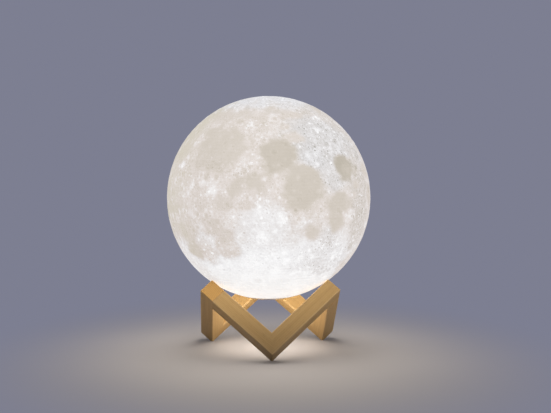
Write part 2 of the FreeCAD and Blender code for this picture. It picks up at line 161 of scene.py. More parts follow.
class NodeTree:
    """A tree of nodes, of a material, of a mesh or of the world."""

    def __init__(self, tree: bpy.types.NodeTree) -> None:
        """Empties a tree.

        Args:
            tree: Blender's own tree.
        """
        self.nodes = tree.nodes
        self.links = tree.links
        self.nodes.clear()

    def node(self, kind: str, settings: dict[str, object], inputs: dict[object, object]) -> bpy.types.Node:
        """Adds a node.

        Args:
            kind: Blender's type name.
            settings: The node's own settings, set first. A ramp's stops are given as "stops".
            inputs: What each socket gets, by its name or number: a value, a Value or a socket.

        Returns:
            The node.
        """
        made = self.nodes.new(kind)
        for key, value in settings.items():
            if key == "stops":
                self._set_stops(made.color_ramp, value)
            else:
                setattr(made, key, value)
        for key, value in inputs.items():
            self.feed(made.inputs[key], value)
        return made

    def value(self, kind: str, settings: dict[str, object], inputs: dict[object, object],
              output: Union[int, str] = 0) -> Value:
        """Adds a node, and returns one of its outputs, by name or number, as a number."""
        return Value(self, self.node(kind, settings, inputs).outputs[output])

    def feed(self, socket: Socket, value: object) -> None:
        """Gives a socket its value or its link.

        Args:
            socket: The socket that is fed.
            value: A value, a Value or a socket.
        """
        if isinstance(value, Value):
            self.links.new(value.socket, socket)
        elif isinstance(value, Socket):
            self.links.new(value, socket)
        elif isinstance(value, tuple) and len(value) == 3 and socket.type == "RGBA":
            socket.default_value = (*value, 1.0)
        else:
            socket.default_value = value

    @staticmethod
    def _set_stops(ramp: bpy.types.ColorRamp, stops: Sequence[tuple[float, Colour]]) -> None:
        """Sets a ramp's stops.

        Args:
            ramp: The ramp.
            stops: Places from 0 to 1, each with its colour, in rising order.
        """
        while len(ramp.elements) < len(stops):
            ramp.elements.new(1.0)
        for element, (place, colour) in zip(ramp.elements, stops):
            element.position = place
            element.color = (*colour, 1.0)


class GeometryTree(NodeTree):
    """A Geometry Nodes tree that makes one piece from named sizes. Lengths in metres."""

    def __init__(self, name: str, sizes: dict[str, float]) -> None:
        """Makes an empty tree with its named inputs.

        Args:
            name: What the tree is called.
            sizes: Its inputs. A whole number makes an input that counts, any other one that measures.
        """
        self.group = bpy.data.node_groups.new(name, "GeometryNodeTree")
        super().__init__(self.group)
        self.sizes: dict[str, float] = {}
        for label, value in sizes.items():
            kind = "NodeSocketInt" if isinstance(value, int) else "NodeSocketFloat"
            socket = self.group.interface.new_socket(label, in_out="INPUT", socket_type=kind)
            self.sizes[socket.identifier] = value
        self.group.interface.new_socket("Piece", in_out="OUTPUT", socket_type="NodeSocketGeometry")
        self.given = self.nodes.new("NodeGroupInput")
        self.result = self.nodes.new("NodeGroupOutput")

    def size(self, label: str) -> Value:
        """Returns one of the named inputs."""
        return Value(self, self.given.outputs[label])

    def index(self) -> Value:
        """Returns the number of each point, from 0."""
        return self.value("GeometryNodeInputIndex", {}, {})

    def vector(self, x: Number, y: Number, z: Number) -> Socket:
        """Puts three numbers together as a place, a size or a turn."""
        return self.node("ShaderNodeCombineXYZ", {}, {0: x, 1: y, 2: z}).outputs[0]

    def block(self, x: Number, y: Number, z: Number) -> Socket:
        """Makes a block of three sides about the origin."""
        return self.node("GeometryNodeMeshCube", {}, {"Size": self.vector(x, y, z)}).outputs["Mesh"]

    def row(self, count: Number, start: Socket, step: Socket) -> Socket:
        """Lays points in a row: how many, where the first lies, and the step to each next one."""
        made = self.node("GeometryNodeMeshLine", {"mode": "OFFSET"},
                         {"Count": count, "Start Location": start, "Offset": step})
        return made.outputs["Mesh"]

    def repeat(self, points: Socket, piece: Socket, turn: Number = 0.0) -> Socket:
        """Puts a piece at every point, turned about Z by an angle in radians."""
        made = self.node("GeometryNodeInstanceOnPoints", {},
                         {"Points": points, "Instance": piece, "Rotation": self.vector(0.0, 0.0, turn)})
        return made.outputs["Instances"]

    def moved(self, piece: Socket, x: Number, y: Number, z: Number) -> Socket:
        """Moves a piece along the three axes."""
        made = self.node("GeometryNodeTransform", {},
                         {"Geometry": piece, "Translation": self.vector(x, y, z)})
        return made.outputs["Geometry"]

    def joined(self, *pieces: Socket) -> Socket:
        """Puts pieces together as one."""
        made = self.nodes.new("GeometryNodeJoinGeometry")
        for piece in pieces:
            self.links.new(piece, made.inputs[0])
        return made.outputs[0]

    def make(self, name: str, piece: Socket, material: Material) -> Object:
        """Ends the tree, runs it once and keeps its plain mesh.

        Args:
            name: The piece's name.
            piece: What the tree has made.
            material: The piece's finish.

        Returns:
            The object, linked to the scene.
        """
        real = self.node("GeometryNodeRealizeInstances", {}, {"Geometry": piece})
        finished = self.node("GeometryNodeSetMaterial", {},
                             {"Geometry": real.outputs[0], "Material": material})
        self.links.new(finished.outputs[0], self.result.inputs[0])
        made = bpy.data.objects.new(name, bpy.data.meshes.new(name))
        bpy.context.scene.collection.objects.link(made)
        shape = made.modifiers.new("shape", "NODES")
        shape.node_group = self.group
        for identifier, value in self.sizes.items():
            shape[identifier] = value
        graph = bpy.context.evaluated_depsgraph_get()
        mesh = bpy.data.meshes.new_from_object(made.evaluated_get(graph), depsgraph=graph)
        made.modifiers.clear()
        made.data = mesh
        mesh.polygons.foreach_set("material_index", np.zeros(len(mesh.polygons), np.int32))
        dress(made, material)
        return made


class MaterialTree(NodeTree):
    """One material's nodes, around a Principled shader."""

    FIRST_COLOUR, SECOND_COLOUR, MIXED_COLOUR = 6, 7, 2     # a Mix node's sockets, when it mixes colours

    def __init__(self, name: str) -> None:
        """Makes an empty material.

        Args:
            name: What the material is called.
        """
        self.material = bpy.data.materials.new(name)
        self.material.use_nodes = True
        super().__init__(self.material.node_tree)
        self.surface = self.nodes.new("ShaderNodeBsdfPrincipled")
        self.output = self.nodes.new("ShaderNodeOutputMaterial")
        self.links.new(self.surface.outputs[0], self.output.inputs["Surface"])

    def place(self, turn: Sequence[float] = (0, 0, 0), move: Sequence[float] = (0, 0, 0),
              scale: Sequence[float] = (1, 1, 1)) -> Socket:
        """Gives a point's place on the object, moved, turned and scaled for a pattern.

        Args:
            turn: Turn about each axis, in radians.
            move: Move along each axis, after the turn.
            scale: Scale along each axis, before the turn.

        Returns:
            The socket with the place.
        """
        where = self.node("ShaderNodeTexCoord", {}, {})
        mapping = self.node("ShaderNodeMapping", {}, {
            "Vector": where.outputs["Object"], "Location": tuple(move), "Rotation": tuple(turn),
            "Scale": tuple(scale)})
        return mapping.outputs["Vector"]

    def stretch(self, place: Socket, scale: Sequence[float]) -> Socket:
        """Scales a place along its three axes."""
        made = self.node("ShaderNodeVectorMath", {"operation": "MULTIPLY"}, {0: place, 1: tuple(scale)})
        return made.outputs[0]

    def axes(self, place: Socket) -> tuple[Value, Value, Value]:
        """Splits a place into its x, y and z."""
        made = self.node("ShaderNodeSeparateXYZ", {}, {0: place})
        return tuple(Value(self, s) for s in made.outputs)

    def facing(self, way: Sequence[float]) -> Value:
        """Says how far the surface faces a unit vector: from -1, facing away, to 1."""
        where = self.node("ShaderNodeTexCoord", {}, {})
        return self.value("ShaderNodeVectorMath", {"operation": "DOT_PRODUCT"},
                          {0: where.outputs["Normal"], 1: tuple(way)}, "Value")

    def noise(self, place: Socket, scale: float, detail: float = 3.0,
              roughness: float = 0.5, warp: float = 0.0) -> Value:
        """Adds soft noise.

        Args:
            place: Where on the pattern.
            scale: Blotches in a metre.
            detail: How many finer layers it has.
            roughness: How strong the finer layers are.
            warp: How much it is distorted.

        Returns:
            The noise, about 0 to 1.
        """
        return self.value("ShaderNodeTexNoise", {"noise_dimensions": "3D"}, {
            "Vector": place, "Scale": scale, "Detail": detail, "Roughness": roughness,
            "Distortion": warp}, "Fac")

    def cells(self, place: Socket, scale: float) -> bpy.types.Node:
        """Adds scattered cells, scale of them in a metre: a node with Distance and Color."""
        return self.node("ShaderNodeTexVoronoi", {"voronoi_dimensions": "3D", "feature": "F1"},
                         {"Vector": place, "Scale": scale, "Randomness": 1.0})

    def attribute(self, name: str) -> Value:
        """Gives a number that is stored on the mesh under a name."""
        return self.value("ShaderNodeAttribute", {"attribute_name": name}, {}, "Fac")

    def blend(self, share: Number, first: object, second: object) -> Socket:
        """Mixes two colours, given as such or as sockets. The share is how much of the second."""
        made = self.node("ShaderNodeMix", {"data_type": "RGBA", "blend_type": "MIX"},
                         {0: share, self.FIRST_COLOUR: first, self.SECOND_COLOUR: second})
        return made.outputs[self.MIXED_COLOUR]

    def tint(self, colour: object, level: Value) -> Socket:
        """Multiplies a colour, given as such or as a socket, by a number."""
        made = self.node("ShaderNodeVectorMath", {"operation": "SCALE"}, {0: colour, "Scale": level})
        return made.outputs[0]

    def bump(self, height: Value, depth: float) -> None:
        """Makes the small relief, from a height of about 0 to 1 and its depth in metres."""
        made = self.node("ShaderNodeBump", {}, {"Height": height, "Distance": depth, "Strength": 1.0})
        self.links.new(made.outputs[0], self.surface.inputs["Normal"])

    def set(self, **inputs: object) -> None:
        """Feeds the shader's own sockets, whose names are given with _ for a space."""
        for key, value in inputs.items():
            self.feed(self.surface.inputs[key.replace("_", " ").title()], value)

    def number(self, socket: str, value: float) -> None:
        """Sets one of the shader's sockets by its exact name."""
        self.surface.inputs[socket].default_value = value


# ---------------------------------------------------------------- finishes
@dataclass(frozen=True)
class Pattern:
    """A soft noise pattern."""

    scale: float                        # blotches in a metre
    detail: float = 3.0                 # how many finer layers it has
    roughness: float = 0.5              # how strong the finer layers are
    slowed: float = 1.0                 # how fast it changes along X, as a share of the other two ways

    def on(self, tree: MaterialTree, place: Socket) -> Value:
        """Adds the pattern to a material, and returns it, about 0 to 1."""
        drawn_out = tree.stretch(place, (self.slowed, 1.0, 1.0)) if self.slowed < 1.0 else place
        return tree.noise(drawn_out, self.scale, self.detail, self.roughness)


@dataclass(frozen=True)
class WoodFinish:
    """Pale, straight-grained wood, cut from the solid: growth rings round an axis beside the bar."""

    name: str
    turn: tuple[float, float, float]    # takes the bar's own axes to X along, Y across and Z through
    move: tuple[float, float, float]    # brings the bar's own middle line to the pattern's axis
    heart: tuple[float, float]          # from the bar's middle line to the rings' centre, in metres
    half_width: float                   # of the bar
    end_way: tuple[float, float, float]     # the bar's long axis, as its faces see it
    painted_shade_at_foot: float                    # painted shade: how much of its tone the wood keeps at the table
    painted_light_at_top: float = 1.24              # painted light: the same at the height of the stand's top
    # Height of the stand's top, where the painted light is full.
    top: float = 0.052
    light: Colour = (0.450, 0.282, 0.108)
    dark: Colour = (0.325, 0.186, 0.060)
    pore: Colour = (0.235, 0.130, 0.050)
    worn: Colour = (0.640, 0.450, 0.230)
    end_grain: Colour = (0.470, 0.250, 0.066)
    ring_step: float = 1.25 * MM        # from one growth ring to the next
    ring_drift: tuple[float, float] = (3.0 * MM, 2.0 * MM)  # how far the rings stray, across and through
    ring_sway: float = 5.0              # radians of a ring that the drift adds
    edge_worn: float = 0.9 * MM         # width of the paler band on each eased edge
    relief: float = 0.06 * MM
    drift: Pattern = Pattern(55.0, 2.0, slowed=0.12)
    fibre: Pattern = Pattern(1500.0, 3.0, 0.65, slowed=0.035)
    streak: Pattern = Pattern(420.0, 2.0, slowed=0.02)
    fleck: Pattern = Pattern(2600.0, 1.0, slowed=0.09)
    pores: Pattern = Pattern(3200.0, 1.0, slowed=0.3)
    # How much each one adds to the wood's darkness, which runs from 0 to 1.
    darkness: float = 0.30
    late_share: float = 0.20
    fibre_share: float = 0.50
    streak_share: float = 0.8
    # How much of the colour each one covers.
    fleck_cover: float = 0.42
    end_cover: float = 0.85
    worn_cover: float = 0.24

    def build(self) -> Material:
        """Returns the material."""
        tree = MaterialTree(self.name)
        place = tree.place(self.turn, self.move)
        _, across, through = tree.axes(place)
        drift = self.drift.on(tree, place) - 0.5
        a = across - self.heart[0] + drift * self.ring_drift[0]
        b = through - self.heart[1] + drift * self.ring_drift[1]
        rings = (a * a + b * b).root() / self.ring_step
        late = ((rings * math.tau + drift * self.ring_sway).sine() * 0.5 + 0.5) ** 2.2
        fibre, streak = self.fibre.on(tree, place), self.streak.on(tree, place)
        fleck = self.fleck.on(tree, place).step(0.60, 0.76)
        shade = late * self.late_share + (fibre - 0.5) * self.fibre_share + (
            streak - 0.5) * self.streak_share + self.darkness
        colour = tree.blend(shade.larger(0.0).smaller(1.0), self.light, self.dark)
        colour = tree.blend(fleck * self.fleck_cover, colour, self.pore)
        cut_across = tree.tint(self.end_grain, 0.82 + late * 0.22 + self.pores.on(tree, place) * 0.24)
        at_end = tree.facing(self.end_way).size().step(0.75, 0.92)
        colour = tree.blend(at_end * self.end_cover, colour, cut_across)
        corner = 2 * self.half_width
        edge = (across.size() + through.size()).step(corner - 1.7 * self.edge_worn,
                                                     corner - 0.5 * self.edge_worn)
        colour = tree.blend(edge * self.worn_cover, colour, self.worn)
        # Painted shade and light: the wood is darker towards the table and lighter towards the stand's top,
        # near the glowing globe.
        height = tree.axes(tree.place())[2].step(0.0, self.top)
        colour = tree.tint(colour, self.painted_shade_at_foot + height * (self.painted_light_at_top - self.painted_shade_at_foot))
        tree.set(base_color=colour, roughness=0.52 + (fibre - 0.5) * 0.22 + fleck * 0.1)
        tree.number("Specular IOR Level", 0.32)
        tree.bump(late * 0.35 + fibre * 0.5 - fleck * 0.9, self.relief)
        return tree.material


@dataclass(frozen=True)
class MoonFinish:
    """The globe's printed shell, lit from inside: its tone comes from the values stored on the mesh."""

    name: str = "moon_shell"
    # How bright the lit shell looks, as a share of DARKEST to BRIGHTEST, with its colour from 0 to 255.
    tones: tuple[tuple[float, tuple[int, int, int]], ...] = (
        (0.00, (190, 183, 170)), (0.13, (202, 194, 182)), (0.27, (212, 204, 194)), (0.40, (220, 212, 205)),
        (0.50, (226, 218, 213)), (0.62, (232, 227, 224)), (0.76, (239, 236, 235)), (0.88, (246, 245, 244)),
        (1.00, (253, 253, 253)))
    # The same for the greyer highlands.
    cool_tones: tuple[tuple[float, tuple[int, int, int]], ...] = (
        (0.00, (177, 176, 174)), (0.27, (203, 202, 202)), (0.50, (220, 220, 222)), (0.76, (237, 237, 239)),
        (1.00, (253, 253, 254)))
    west_tone: tuple[int, int, int] = (214, 208, 191)
    west_cover: float = 0.7             # how much of the dim western ground takes that tone
    # Painted light: the globe's top takes a paler, cooler tone, as if lit from above, and this much of it
    # covers the top.
    painted_top_light_tone: tuple[int, int, int] = (231, 232, 236)
    painted_top_light_cover: float = 0.8
    room_light: float = 0.150           # what the room's light adds to the lit shell
    shell: Colour = (0.235, 0.232, 0.226)
    layer_step: float = 2.2 * MM        # from one printed line to the next
    line_tone: float = 0.010            # how much the printed lines show everywhere
    patch_tone: float = 0.085           # and how much more in patches
    patches_to: tuple[float, float] = (0.055, 0.085)    # heights over which the patches fade out
    relief: float = 0.30 * MM
    ragged: Pattern = Pattern(230.0, 4.0, 0.6)
    grain: Pattern = Pattern(640.0, 3.0, 0.65)
    dust: Pattern = Pattern(1500.0, 2.0, 0.6)
    # How much each one adds to the fine texture, and what is taken off, so that it evens out.
    pit_share: float = 0.22
    grain_share: float = 0.74
    dust_share: float = 0.52
    ragged_share: float = 0.46
    speck_share: float = 0.50
    fine_middle: float = 0.04
    pock_tone: float = 0.36             # how much darker the floors of pocked ground's craters are
    cloud_tone: float = 0.05            # how much the ragged pattern shows on smooth ground too

    def build(self) -> Material:
        """Returns the material."""
        tree = MaterialTree(self.name)
        place = tree.place()
        level, rough = tree.attribute("level"), tree.attribute("rough")
        ragged, grain, dust = (one.on(tree, place) - 0.5 for one in (self.ragged, self.grain, self.dust))
        pits = self._pits(tree, place, 300.0, 0.36) + self._pits(tree, place, 640.0, 0.42) * 0.7
        specks = self._specks(tree, place, 420.0) + self._specks(tree, place, 270.0)
        height = tree.axes(place)[2]
        lines = (height * (math.tau / self.layer_step)).sine()
        patchy = tree.noise(tree.stretch(place, (0.35, 0.35, 1.0)), 150.0, 1.0).step(0.52, 0.66) * (
            1.0 - height.step(*self.patches_to))
        fine = (pits * self.pit_share + grain * self.grain_share + dust * self.dust_share
                + ragged * self.ragged_share + specks * self.speck_share - self.fine_middle)
        pocks = (pits + 0.05).smaller(0.0) * tree.attribute("pocked")
        tone = (level + fine * rough + pocks * self.pock_tone + ragged * self.cloud_tone
                + lines * (self.line_tone + self.patch_tone * patchy))
        warm, grey = (tree.node("ShaderNodeValToRGB", {"stops": [(at, self._glow(c)) for at, c in tones]},
                                {0: tone}).outputs[0] for tones in (self.tones, self.cool_tones))
        glow = tree.blend(tree.attribute("cool"), warm, grey)
        dim = 1.0 - level.step(0.35, 0.62)
        glow = tree.blend(tree.attribute("west") * dim * self.west_cover, glow, self._glow(self.west_tone))
        # Painted light on the globe's top.
        crown = tree.tint(self._glow(self.painted_top_light_tone), 1.0 + fine * 0.8)
        glow = tree.blend(tree.attribute("crown") * self.painted_top_light_cover, glow, crown)
        body = tree.tint(self.shell, 0.9 + level * 0.2)
        tree.set(base_color=body, roughness=0.62, emission_color=glow)
        tree.number("Emission Strength", 1.0)
        tree.number("Specular IOR Level", 0.2)
        tree.bump((pits * 0.5 + grain * 1.6 + ragged * 0.8) * rough + lines * 0.04, self.relief)
        return tree.material

    def _glow(self, seen: tuple[int, int, int]) -> Colour:
        """Returns the light with which the shell shows a colour, from 0 to 255, in the room."""
        return tuple(max(part - self.room_light, 0.0) for part in linear(seen))

    @staticmethod
    def _pits(tree: MaterialTree, place: Socket, scale: float, rim: float) -> Value:
        """Adds scattered small craters, each with a sunk floor and a raised rim.

        Args:
            tree: The material's nodes.
            place: Where on the globe.
            scale: Craters in a metre.
            rim: Distance from a cell's middle to its rim, as a share of the cell.

        Returns:
            The craters' height, about -1 to 1.
        """
        found = tree.cells(place, scale)
        own = tree.value("ShaderNodeSeparateColor", {}, {0: found.outputs["Color"]})
        reach = Value(tree, found.outputs["Distance"]) / (rim * (0.45 + 0.55 * own))
        floor = 1.0 - reach.step(0.35, 0.95)
        wall = reach.step(0.70, 1.0) * (1.0 - reach.step(1.0, 1.45))
        return wall * 0.8 - floor

    @staticmethod
    def _specks(tree: MaterialTree, place: Socket, scale: float) -> Value:
        """Adds scattered bright specks, where the shell is printed thin.

        Args:
            tree: The material's nodes.
            place: Where on the globe.
            scale: Places for a speck in a metre.

        Returns:
            Their brightness, from 0 to 1.
        """
        found = tree.cells(place, scale)
        lit = tree.value("ShaderNodeSeparateColor", {}, {0: found.outputs["Color"]}, 1).step(0.70, 0.95)
        return (1.0 - Value(tree, found.outputs["Distance"]).step(0.08, 0.42)) * lit


@dataclass(frozen=True)
class MouldedFinish:
    """Moulded plastic with a fine even texture."""

    name: str
    colour: Colour
    roughness: float = 0.42
    texture_scale: float = 1800.0
    texture_depth: float = 0.02 * MM
    glow: Colour = (0.0, 0.0, 0.0)

    def build(self) -> Material:
        """Returns the material."""
        tree = MaterialTree(self.name)
        place = tree.place()
        cloud = tree.noise(place, 60.0, 2.0) - 0.5
        grain = tree.noise(place, self.texture_scale, 2.0)
        tree.set(base_color=tree.tint(self.colour, 1.0 + cloud * 0.06 + (grain - 0.5) * 0.05),
                 roughness=self.roughness + (grain - 0.5) * 0.16)
        if any(self.glow):
            tree.set(emission_color=tree.tint(self.glow, 1.0 + cloud * 0.1))
            tree.number("Emission Strength", 1.0)
        tree.bump(grain, self.texture_depth)
        return tree.material


@dataclass(frozen=True)
class TurnedMetalFinish:
    """Metal brushed round the lamp's axis."""

    name: str
    colour: Colour
    roughness: float = 0.30
    relief: float = 0.01 * MM

    def build(self) -> Material:
        """Returns the material."""
        tree = MaterialTree(self.name)
        place = tree.place()
        x, y, z = tree.axes(place)
        track = tree.node("ShaderNodeCombineXYZ", {}, {0: (x * x + y * y).root(), 1: z, 2: 0.0})
        brushed = tree.noise(track.outputs[0], 6000.0, 2.0, 0.7)
        smear = tree.noise(place, 90.0, 3.0)
        tree.set(base_color=tree.tint(self.colour, 0.92 + brushed * 0.16),
                 roughness=self.roughness + (brushed - 0.5) * 0.20 + (smear - 0.5) * 0.16)
        tree.number("Metallic", 1.0)
        tree.bump(brushed, self.relief)
        return tree.material


@dataclass(frozen=True)
class PlatedFinish:
    """Plated or gilt small metal parts."""

    name: str
    colour: Colour
    roughness: float = 0.26
    relief: float = 0.01 * MM

    def build(self) -> Material:
        """Returns the material."""
        tree = MaterialTree(self.name)
        tarnish = tree.noise(tree.place(), 900.0, 3.0)
        tree.set(base_color=tree.tint(self.colour, 0.86 + tarnish * 0.28),
                 roughness=self.roughness + (tarnish - 0.5) * 0.24)
        tree.number("Metallic", 1.0)
        tree.bump(tarnish, self.relief)
        return tree.material


@dataclass(frozen=True)
class BoardFinish:
    """A circuit board: lacquer over patches of tracks, which run one way or the other."""

    name: str
    lacquer: Colour
    track: Colour
    pitch: float = 1.3 * MM
    relief: float = 0.03 * MM

    def build(self) -> Material:
        """Returns the material."""
        tree = MaterialTree(self.name)
        place = tree.place(turn=(0, 0, math.radians(45)))
        stripes_x, stripes_y = ((way * (math.tau / self.pitch)).sine().step(0.35, 0.6)
                                for way in tree.axes(place)[:2])
        one_way = tree.noise(place, 160.0, 0.0).step(0.42, 0.58)
        patches = tree.noise(place, 90.0, 0.0).step(0.5, 0.52)
        tracks = (stripes_x * one_way + stripes_y * (1.0 - one_way)) * patches
        tree.set(base_color=tree.blend(tracks * 0.55, self.lacquer, self.track),
                 roughness=0.32 + tracks * 0.12)
        tree.bump(tracks, self.relief)
        return tree.material


@dataclass(frozen=True)
class FoilFinish:
    """The cell's crimped foil pouch."""

    name: str = "cell_foil"
    colour: Colour = (0.58, 0.60, 0.63)
    relief: float = 0.25 * MM

    def build(self) -> Material:
        """Returns the material."""
        tree = MaterialTree(self.name)
        crease = tree.noise(tree.place(), 130.0, 4.0, 0.6, 0.6)
        tree.set(base_color=tree.tint(self.colour, 0.85 + crease * 0.3), roughness=0.28 + crease * 0.2)
        tree.number("Metallic", 0.85)
        tree.bump(crease, self.relief)
        return tree.material


@dataclass(frozen=True)
class FoamFinish:
    """Open-celled foam."""

    name: str = "foam"
    colour: Colour = (0.055, 0.056, 0.060)
    relief: float = 0.2 * MM

    def build(self) -> Material:
        """Returns the material."""
        tree = MaterialTree(self.name)
        pores = Value(tree, tree.cells(tree.place(), 1500.0).outputs["Distance"])
        # Painted shade: the foam is darker in the middle of each pore, where the bump sinks, and paler on the
        # ridges between.
        tree.set(base_color=tree.tint(self.colour, 0.5 + pores * 1.1), roughness=0.92)
        tree.bump(pores, self.relief)
        return tree.material


@dataclass(frozen=True)
class FloorFinish:
    """A pale table top that melts into the plain background away from the lamp."""

    name: str
    colour: Colour
    beyond: Colour
    near: float                         # radius out to which the floor is its own colour
    far: float                          # radius from which only the background shows
    forward: float = 0.050              # how far before the lamp the middle of the pale part lies
    narrow: float = 1.25                # how much narrower than deep the pale part is

    def build(self) -> Material:
        """Returns the material."""
        tree = MaterialTree(self.name)
        x, y, _ = tree.axes(tree.place(move=(0.0, self.forward, 0.0), scale=(self.narrow, 1.0, 1.0)))
        away = (x * x + y * y).root()
        mottle = tree.noise(tree.place(), 14.0, 3.0) - 0.5
        tree.set(base_color=tree.tint(self.colour, 1.0 + mottle * 0.04), roughness=0.75)
        tree.number("Specular IOR Level", 0.15)
        plain = tree.node("ShaderNodeEmission", {}, {"Color": self.beyond, "Strength": 1.0})
        mixed = tree.node("ShaderNodeMixShader", {}, {
            0: away.step(self.near, self.far), 1: tree.surface.outputs[0], 2: plain.outputs[0]})
        tree.links.new(mixed.outputs[0], tree.output.inputs["Surface"])
        return tree.material


# ---------------------------------------------------------------- small helpers
def dress(node: Object, material: Material) -> None:
    """Gives an object one material."""
    node.data.materials.clear()
    node.data.materials.append(material)


def add_mesh(name: str, vertices: np.ndarray, faces: Sequence[Sequence[int]]) -> Object:
    """Makes an object from points and faces.

    Args:
        name: The piece's name.
        vertices: One row of x, y and z for each point, in metres.
        faces: The points of each face, anticlockwise from outside.

    Returns:
        The object, linked to the scene.
    """
    mesh = bpy.data.meshes.new(name)
    mesh.from_pydata(vertices.tolist(), [], faces)
    mesh.update()
    made = bpy.data.objects.new(name, mesh)
    bpy.context.scene.collection.objects.link(made)
    return made


def linear(seen: Sequence[int]) -> Colour:
    """Turns a colour from 0 to 255, as a screen shows it, into the one that a shader takes."""
    shares = [part / 255 for part in seen]
    return tuple(s / 12.92 if s <= 0.04045 else ((s + 0.055) / 1.055) ** 2.4 for s in shares)


def smooth_step(value: np.ndarray, low: float, high: float) -> np.ndarray:
    """Rises smoothly from 0 at low to 1 at high."""
    t = np.clip((value - low) / (high - low), 0.0, 1.0)
    return t * t * (3.0 - 2.0 * t)


# ---------------------------------------------------------------- stand
class Way(Enum):
    """Which of a V's two bars it is, by the direction that it leaves the foot in."""

    LONG = 1
    SHORT = -1


@dataclass
class WoodenStand:
    """Three mitred Vs along the edges of a cube that stands on its corner."""

    bar: float = 12.4 * MM
    feet: dict[str, float] = field(default_factory=lambda: {"front": -90.0, "right": 30.0, "left": 150.0})
    between_feet: float = 120.0         # degrees round the axis
    heart_reach: float = 21.0 * MM      # from a bar's middle line to the centre of its growth rings
    heart_start: float = 0.9            # the first bar's direction to that centre, in radians
    heart_step: float = 2.1             # and what each next bar adds
    grain_step: float = 0.13            # how far along the grain each next bar is cut from
    painted_shade_at_foot: float = 0.79             # painted shade: how much of its tone the wood keeps at the table
    front_painted_shade_at_foot: float = 0.46       # painted shade, deeper on the front V's bars at the table

    def dress(self, nodes: Nodes) -> None:
        """Gives every bar and dowel its wood.

        Args:
            nodes: The frame's nodes by name.
        """
        for number, (name, foot) in enumerate(self.feet.items()):
            for way in Way:
                kind = "long" if way is Way.LONG else "short"
                node = nodes[f"{name}_{kind}_bar"]
                finish = self._bar_finish(node, math.radians(foot), way, number * 2 + (way is Way.SHORT))
                dress(node, finish.build())
        dowel = MouldedFinish("dowel_wood", (0.52, 0.36, 0.19), 0.6, 900.0, 0.06 * MM).build()
        for name, node in nodes.items():
            if name.endswith("dowel"):
                dress(node, dowel)
        log.info("stand: six bars dressed, each with its own grain")

    def _bar_finish(self, node: Object, foot: float, way: Way, seed: int) -> WoodFinish:
        """Works out how the grain lies in one bar.

        Args:
            node: The bar.
            foot: Direction from the axis to its V's foot, in radians.
            way: Whether it is the long or the short bar.
            seed: A number of its own, so that no two bars look alike.

        Returns:
            The bar's finish.
        """
        lean = math.atan(1 / math.sqrt(2.0))    # of a cube's edge, when the cube stands on its corner
        outward = Vector((math.cos(foot) * math.cos(lean), math.sin(foot) * math.cos(lean), math.sin(lean)))
        turn_to = foot + way.value * math.radians(self.between_feet)
        along = Vector((math.cos(turn_to) * math.cos(lean), math.sin(turn_to) * math.cos(lean),
                        math.sin(lean)))
        across = outward.cross(along).normalized()
        rows = Matrix((along, across, outward))
        middle = self._middle(node, across, outward)
        angle = self.heart_start + self.heart_step * seed
        heart = (math.cos(angle) * self.heart_reach, math.sin(angle) * self.heart_reach)
        shift = Vector((self.grain_step * (seed + 1), -middle[0], -middle[1]))
        # The front V's bars get the deeper painted shade at their foot.
        tint = self.front_painted_shade_at_foot if node.name.startswith("front") else self.painted_shade_at_foot
        return WoodFinish(f"wood_{node.name}", tuple(rows.to_euler("XYZ")), tuple(shift), heart,
                          self.bar / 2, tuple(along), tint)

    @staticmethod
    def _middle(node: Object, across: Vector, outward: Vector) -> tuple[float, float]:
        """Finds a bar's middle line from its points.

        Args:
            node: The bar.
            across: Direction across the bar.
            outward: Direction through the bar.

        Returns:
            How far the middle line lies from the origin, across and through.
        """
        points = np.empty(len(node.data.vertices) * 3)
        node.data.vertices.foreach_get("co", points)
        points = points.reshape(-1, 3)
        sides = [points @ np.array(direction) for direction in (across, outward)]
        return tuple(float(side.min() + side.max()) / 2 for side in sides)


# ---------------------------------------------------------------- globe
@dataclass(frozen=True)
class Sea:
    """A dark plain, as an ellipse on the globe. Angles in degrees; east and north are positive."""

    name: str
    north: float
    east: float
    half_north: float
    half_east: float
    tone: float                         # its brightness, from 0 to 255


@dataclass(frozen=True)
class Land:
    """A stretch of highland with a brightness and a roughness of its own. Angles in degrees."""

    name: str
    north: float
    east: float
    half_north: float
    half_east: float
    tone: float                         # its brightness, from 0 to 255
    rough: float = 0.5                  # how strong the fine craters are, from 0 to 1
    cool: float = 0.0                   # how grey rather than warm it is, from 0 to 1
    pocked: float = 0.0                 # how dark its small craters' floors are, from 0 to 1


@dataclass(frozen=True)
class RayedCrater:
    """A young crater with bright streaks round it. Angles in degrees."""

    name: str
    north: float
    east: float
    across: float                       # radius of its bright middle
    reach: float                        # how far its longest streak runs
    bright: float                       # how bright it is, 1 being a strong one


